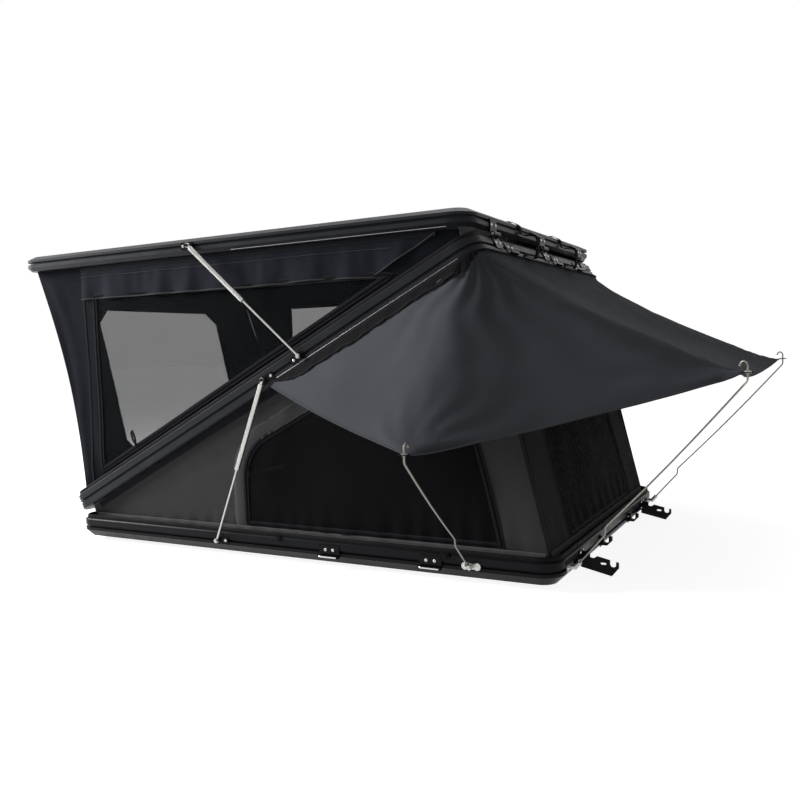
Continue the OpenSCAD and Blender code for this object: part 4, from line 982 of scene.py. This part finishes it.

# Thin bright metal lips along the lower edges of the middle frame and the roof: a painted highlight,
# standing in for the light that these edges catch
for body, place, low_z, start_x in (("middle", mid, KEDER + 0.004, 0.16), ("roof", roof, ROOF_LOW, 0.10)):
    lip = Shape()
    for side, tag in SIDES:
        y, z = side * (HALF_WIDTH + 0.0004), low_z + 0.0012
        path = [lift(place, (x, y, z)) for x in np.linspace(start_x, HALF_LENGTH - CORNER_RADIUS, 40)]
        lip.tube(path, radius=0.0017)
    fixed(lip.build("bare_lip_" + body, "lip"), body)

# Closing straps with a buckle each
STRAP_Y, STRAP_SHIFT, STRAP_WIDTH = 0.26, 0.02, 0.038
strap_head = lift(roof, (HALF_LENGTH + 0.001, 0, ROOF_TOP - 0.019))
strap_foot = lift(mid, (HALF_LENGTH + 0.001, 0, KEDER + 0.010))
keder_x, keder_z = mid(HALF_LENGTH, KEDER)
STRAP = [
    roof(HALF_LENGTH - 0.060, ROOF_TOP + 0.0006),
    roof(HALF_LENGTH - 0.030, ROOF_TOP + 0.0012),
    roof(HALF_LENGTH + 0.0015, ROOF_TOP - 0.016),
    roof(HALF_LENGTH + 0.012, ROOF_TOP - 0.050),
    (keder_x + 0.036, keder_z + 0.080),
    (keder_x + 0.040, keder_z + 0.025),
    (keder_x + 0.030, keder_z + 0.001),
    mid(HALF_LENGTH + 0.0075, KEDER + 0.008),
    mid(HALF_LENGTH + 0.0030, KEDER + 0.020),
]
BUCKLE_AT, BUCKLE_HALF_WIDTH, BUCKLE_HALF_LENGTH = 27, 0.025, 0.014


def curve(points, steps=7):
    """A smooth path through points."""
    q = [np.array(p, float) for p in [points[0]] + list(points) + [points[-1]]]
    made = []
    for a, b, c, d in zip(q, q[1:], q[2:], q[3:]):
        square, cube = 2 * a - 5 * b + 4 * c - d, 3 * b - a - 3 * c + d
        for t in (k / steps for k in range(steps)):
            made.append(0.5 * (2 * b + (c - a) * t + square * t ** 2 + cube * t ** 3))
    return made + [q[-1]]


flat_path = curve(STRAP)
ups = [(-dz, 0, dx) for dx, dz in headings(np.array(flat_path), closed=False)]
for side, tag in SIDES:
    strap_y = side * (STRAP_Y - STRAP_SHIFT * side)
    path = [(x, strap_y + 0.006 * sin(0.06 * k), z) for k, (x, z) in enumerate(flat_path)]
    strap = Shape()
    strap.ribbon(path, ups, STRAP_WIDTH, thick=0.0018)
    strap = strap.build("closing_strap_" + tag, "webbing")
    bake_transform(strap)
    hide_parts("closing_straps")
    c = np.array(path[BUCKLE_AT])
    u = unit(np.array(path[BUCKLE_AT + 3]) - np.array(path[BUCKLE_AT - 3]))
    n = unit(np.array(ups[BUCKLE_AT]))
    wide, long = np.cross(u, n) * BUCKLE_HALF_WIDTH, u * BUCKLE_HALF_LENGTH
    border = [tuple(c + n * 0.004 + wide * a + long * b) for a, b in ((-1, -1), (-1, 1), (1, 1), (1, -1))]
    buckle = Shape()
    buckle.tube(dense(border + border[:1], step=0.006)[:-1], radius=0.0032, closed=True)
    for b in (-0.3, 0.35):
        buckle.tube([c + n * 0.005 + wide * a + long * b for a in (-1, -0.5, 0, 0.5, 1)], radius=0.0026)
    fixed(buckle.build("strap_buckle_" + tag, "black"), "middle")

# Webbing loops over the base edge
LOOP = (
    (-0.03, 0.724, 0.1005), (-0.012, 0.745, 0.0985), (0.006, 0.7595, 0.0975),
    (0.014, 0.7635, 0.094), (0.018, 0.7635, 0.082),
)
loops = Shape()
for loop_x in (-0.02, 0.68):
    for side, tag in SIDES:
        path = [(loop_x + x, side * y, z) for x, y, z in LOOP]
        loop_ups = [(0, 0, 1), (0, 0, 1), (0, side * 0.5, 0.8), (0, side, 0.3), (0, side, 0)]
        loops.ribbon(path, loop_ups, width=0.016, thick=0.0018)
fixed(loops.build("base_loops", "webbing"), "base")

# Mattress: a quilted foam slab with piping
PAD_X, PAD_Y, PAD_LOW, PAD_TOP, PAD_CORNER = 0.989, 0.664, 0.0575, 0.130, 0.08
PAD_RINGS, QUILT, QUILT_DEPTH = 8, 14, 0.0016
PAD_SIDE = [
    (0.02, PAD_LOW), (0.004, PAD_LOW + 0.006), (0.0, PAD_LOW + 0.03),
    (0.0, PAD_TOP - 0.03), (0.004, PAD_TOP - 0.010), (0.016, PAD_TOP - 0.002),
]


def pad_ring(inset, z, n=18):
    """The mattress outline, drawn in by inset."""
    pts, r = [], PAD_CORNER - inset
    for cx, cy, a0 in ((1, 1, 0), (-1, 1, 90), (-1, -1, 180), (1, -1, 270)):
        for a in (radians(a0 + 90 * k / n) for k in range(n + 1)):
            x, y = cx * (PAD_X - PAD_CORNER), cy * (PAD_Y - PAD_CORNER)
            pts.append((x + r * cos(a), y + r * sin(a), z))
    return pts


def quilted(x, y, k):
    """A point of the top, on the ring k steps in from the edge."""
    quilt = QUILT_DEPTH * abs(sin(QUILT * x)) * abs(sin(QUILT * y))
    return (x, y, PAD_TOP - 0.002 + 0.002 * smooth(k / 3) - QUILT_DEPTH + quilt)


pad = Shape()
edge = pad_ring(*PAD_SIDE[-1])
count = len(edge)
between = [(i - count, (i + 1) % count - count, (i + 1) % count, i) for i in range(count)]
pad.add(pad_ring(*PAD_SIDE[0]), [tuple(range(count))[::-1]])
for inset, z in PAD_SIDE[1:]:
    pad.add(pad_ring(inset, z), between)
for k in range(1, PAD_RINGS):
    shrink = 1 - k / PAD_RINGS
    pad.add([quilted(x * shrink, y * shrink, k) for x, y, z in edge], between)
pad.add([(0, 0, PAD_TOP)], [(i - count, (i + 1) % count - count, 0) for i in range(count)])
for z in (PAD_TOP - 0.008, PAD_LOW + 0.008):
    pad.tube(pad_ring(0.0015, z), radius=0.0022, sides=6, closed=True)
pad = pad.build("mattress_pad", "mattress")
fixed(pad, "base")
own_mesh(pad)
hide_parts("mattress")

# Screws
FACE_X, FACE_Y, HINGE_X = HALF_LENGTH + 0.0031, HALF_WIDTH + 0.0031, HALF_LENGTH + 0.0041
BASE_MIDDLE, MID_MIDDLE, ROOF_MIDDLE = BASE_LOW + RIM_MIDDLE, MID_LOW + RIM_MIDDLE, ROOF_LOW + RIM_MIDDLE
BRACKET_SCREW, HINGE_SCREW = 0.034, 0.031
places = {"base": still, "middle": mid, "roof": roof}
bolts = {body: Shape() for body in places}


def screw(body, p, n, r):
    place = places[body]
    q, tip = lift(place, p), lift(place, tuple(a + b for a, b in zip(p, n)))
    bolts[body].bolt(q, tuple(b - a for a, b in zip(q, tip)), r)


for side, tag in SIDES:
    out, face_y = (0, side, 0), side * FACE_Y
    for x in HOOK_PLATES_X:
        for dx in (-0.016, 0.016):
            screw("base", (x + dx, face_y, BASE_MIDDLE + 0.006), out, 0.0042)
    for dx in (-0.022, 0.022):
        screw("base", (SIDE_SOCKET_X + dx, face_y, BASE_MIDDLE), out, 0.0042)
        screw("base", (FACE_X, side * FRONT_SOCKET_Y + dx, BASE_MIDDLE), (1, 0, 0), 0.0042)
    for dy in (-0.0115, 0.0115):
        screw("base", (FACE_X, side * FRONT_HOOK_Y + dy, BASE_MIDDLE + 0.004), (1, 0, 0), 0.0032)
    for dy, dz in ((-0.016, 0.019), (0.016, 0.019), (-0.016, -0.007), (0.016, -0.007)):
        screw("base", (FACE_X, side * ARM_Y + dy, BASE_MIDDLE + dz), (1, 0, 0), 0.0045)
    screw("base", (LOWER_FOOT_X + BRACKET_SCREW, face_y, BASE_MIDDLE), out, 0.004)
    screw("middle", (LOWER_HEAD_X + BRACKET_SCREW, face_y, MID_MIDDLE), out, 0.004)
    screw("middle", (UPPER_FOOT_X - BRACKET_SCREW, face_y, MID_MIDDLE), out, 0.004)
    screw("roof", (UPPER_HEAD_X - BRACKET_SCREW, face_y, ROOF_MIDDLE), out, 0.004)
for y in HINGES_Y:
    for dy in (-0.02, 0.02):
        screw("middle", (HINGE_X, y + dy, FRONT_AXIS[1] - HINGE_SCREW), (1, 0, 0), 0.0045)
        screw("roof", (HINGE_X, y + dy, FRONT_AXIS[1] + HINGE_SCREW), (1, 0, 0), 0.0045)
        screw("base", (-HINGE_X, y + dy, REAR_AXIS[1] - HINGE_SCREW), (-1, 0, 0), 0.0045)
        screw("middle", (-HINGE_X, y + dy, REAR_AXIS[1] + HINGE_SCREW), (-1, 0, 0), 0.0045)
    latch_y = y + LATCH_OFFSET * (-1 if y > 0 else 1)
    for dy in (-0.018, 0.018):
        screw("middle", (FACE_X, latch_y + dy, MID_LOW + 0.039), (1, 0, 0), 0.0045)
for body, shape in bolts.items():
    fixed(shape.build("screws_" + body, "steel"), body)

# Floor, light and camera
FLOOR_REACH, FLOOR_LEVEL, FLOOR_GLOW, WORLD_LIGHT, WHITE = 40.0, -0.002, 0.88, 0.15, (1, 1, 1, 1)
IMAGE_WIDTH, FOCAL_PIXELS, SENSOR = 800, 832.37, 36.0
CAMERA_PLACE, CAMERA_ANGLES = (1.8758, -3.3094, 0.8018), (27.864, -3.533, -1.568)
scene = bpy.context.scene
scene.view_settings.view_transform = "Standard"


def seen_directly(m):
    """1 for rays that come straight from the camera, or by way of a mirror or glass."""
    ray = node(m, "ShaderNodeLightPath").outputs
    either = maths(m, "MAXIMUM", ray["Is Camera Ray"], ray["Is Glossy Ray"])
    return maths(m, "MAXIMUM", either, ray["Is Transmission Ray"])


floor_mat = material("pale_floor", (0.8, 0.8, 0.8), 0.9, Specular_IOR_Level=0.1, Emission_Color=WHITE)
glow = maths(floor_mat, "MULTIPLY", seen_directly(floor_mat), FLOOR_GLOW)
link(floor_mat, glow, surface(floor_mat)["Emission Strength"])
floor = bpy.data.meshes.new("floor")
square = [(x * FLOOR_REACH, y * FLOOR_REACH, FLOOR_LEVEL) for x, y in ((-1, -1), (1, -1), (1, 1), (-1, 1))]
floor.from_pydata(square, [], [(0, 1, 2, 3)])
floor.materials.append(floor_mat)
floor_obj = bpy.data.objects.new("floor", floor)
scene.collection.objects.link(floor_obj)

world = bpy.data.worlds.new("studio")
scene.world = world
world.use_nodes = True
back = world.node_tree.nodes["Background"]
back.inputs["Color"].default_value = WHITE
level = node(world, "ShaderNodeMix", data_type="FLOAT")
link(world, seen_directly(world), level.inputs[0])
level.inputs[2].default_value = WORLD_LIGHT
level.inputs[3].default_value = 1.0
link(world, level.outputs[0], back.inputs["Strength"])


def area_light(name, place, target, size, power):
    lamp = bpy.data.lights.new(name, "AREA")
    lamp.energy, lamp.size = power, size
    obj = bpy.data.objects.new(name, lamp)
    obj.location = place
    obj.rotation_mode = "QUATERNION"
    obj.rotation_quaternion = (Vector(target) - Vector(place)).to_track_quat("-Z", "Y")
    scene.collection.objects.link(obj)


area_light("key", (-5.2, -2.2, 3.0), (0.2, -0.4, 0.6), 2.4, 520)
area_light("fill", (4.0, -4.0, 2.0), (0.4, 0, 0.6), 3.0, 6)
area_light("top", (0.2, 1.5, 4.5), (0.2, 0, 0.8), 3.0, 30)

pan, pitch, roll = (radians(a) for a in CAMERA_ANGLES)
ahead = Vector((-sin(pan) * cos(pitch), cos(pan) * cos(pitch), sin(pitch)))
level_right = Vector((cos(pan), sin(pan), 0))
level_up = level_right.cross(ahead)
right = cos(roll) * level_right + sin(roll) * level_up
upward = -sin(roll) * level_right + cos(roll) * level_up
camera = bpy.data.cameras.new("camera")
camera.sensor_width = SENSOR
camera.lens = SENSOR * FOCAL_PIXELS / IMAGE_WIDTH
camera.clip_start, camera.clip_end = 0.05, 200
view = bpy.data.objects.new("camera", camera)
turn = Matrix((right, upward, -ahead)).transposed().to_4x4()
view.matrix_world = Matrix.Translation(CAMERA_PLACE) @ turn
scene.collection.objects.link(view)
scene.camera = view
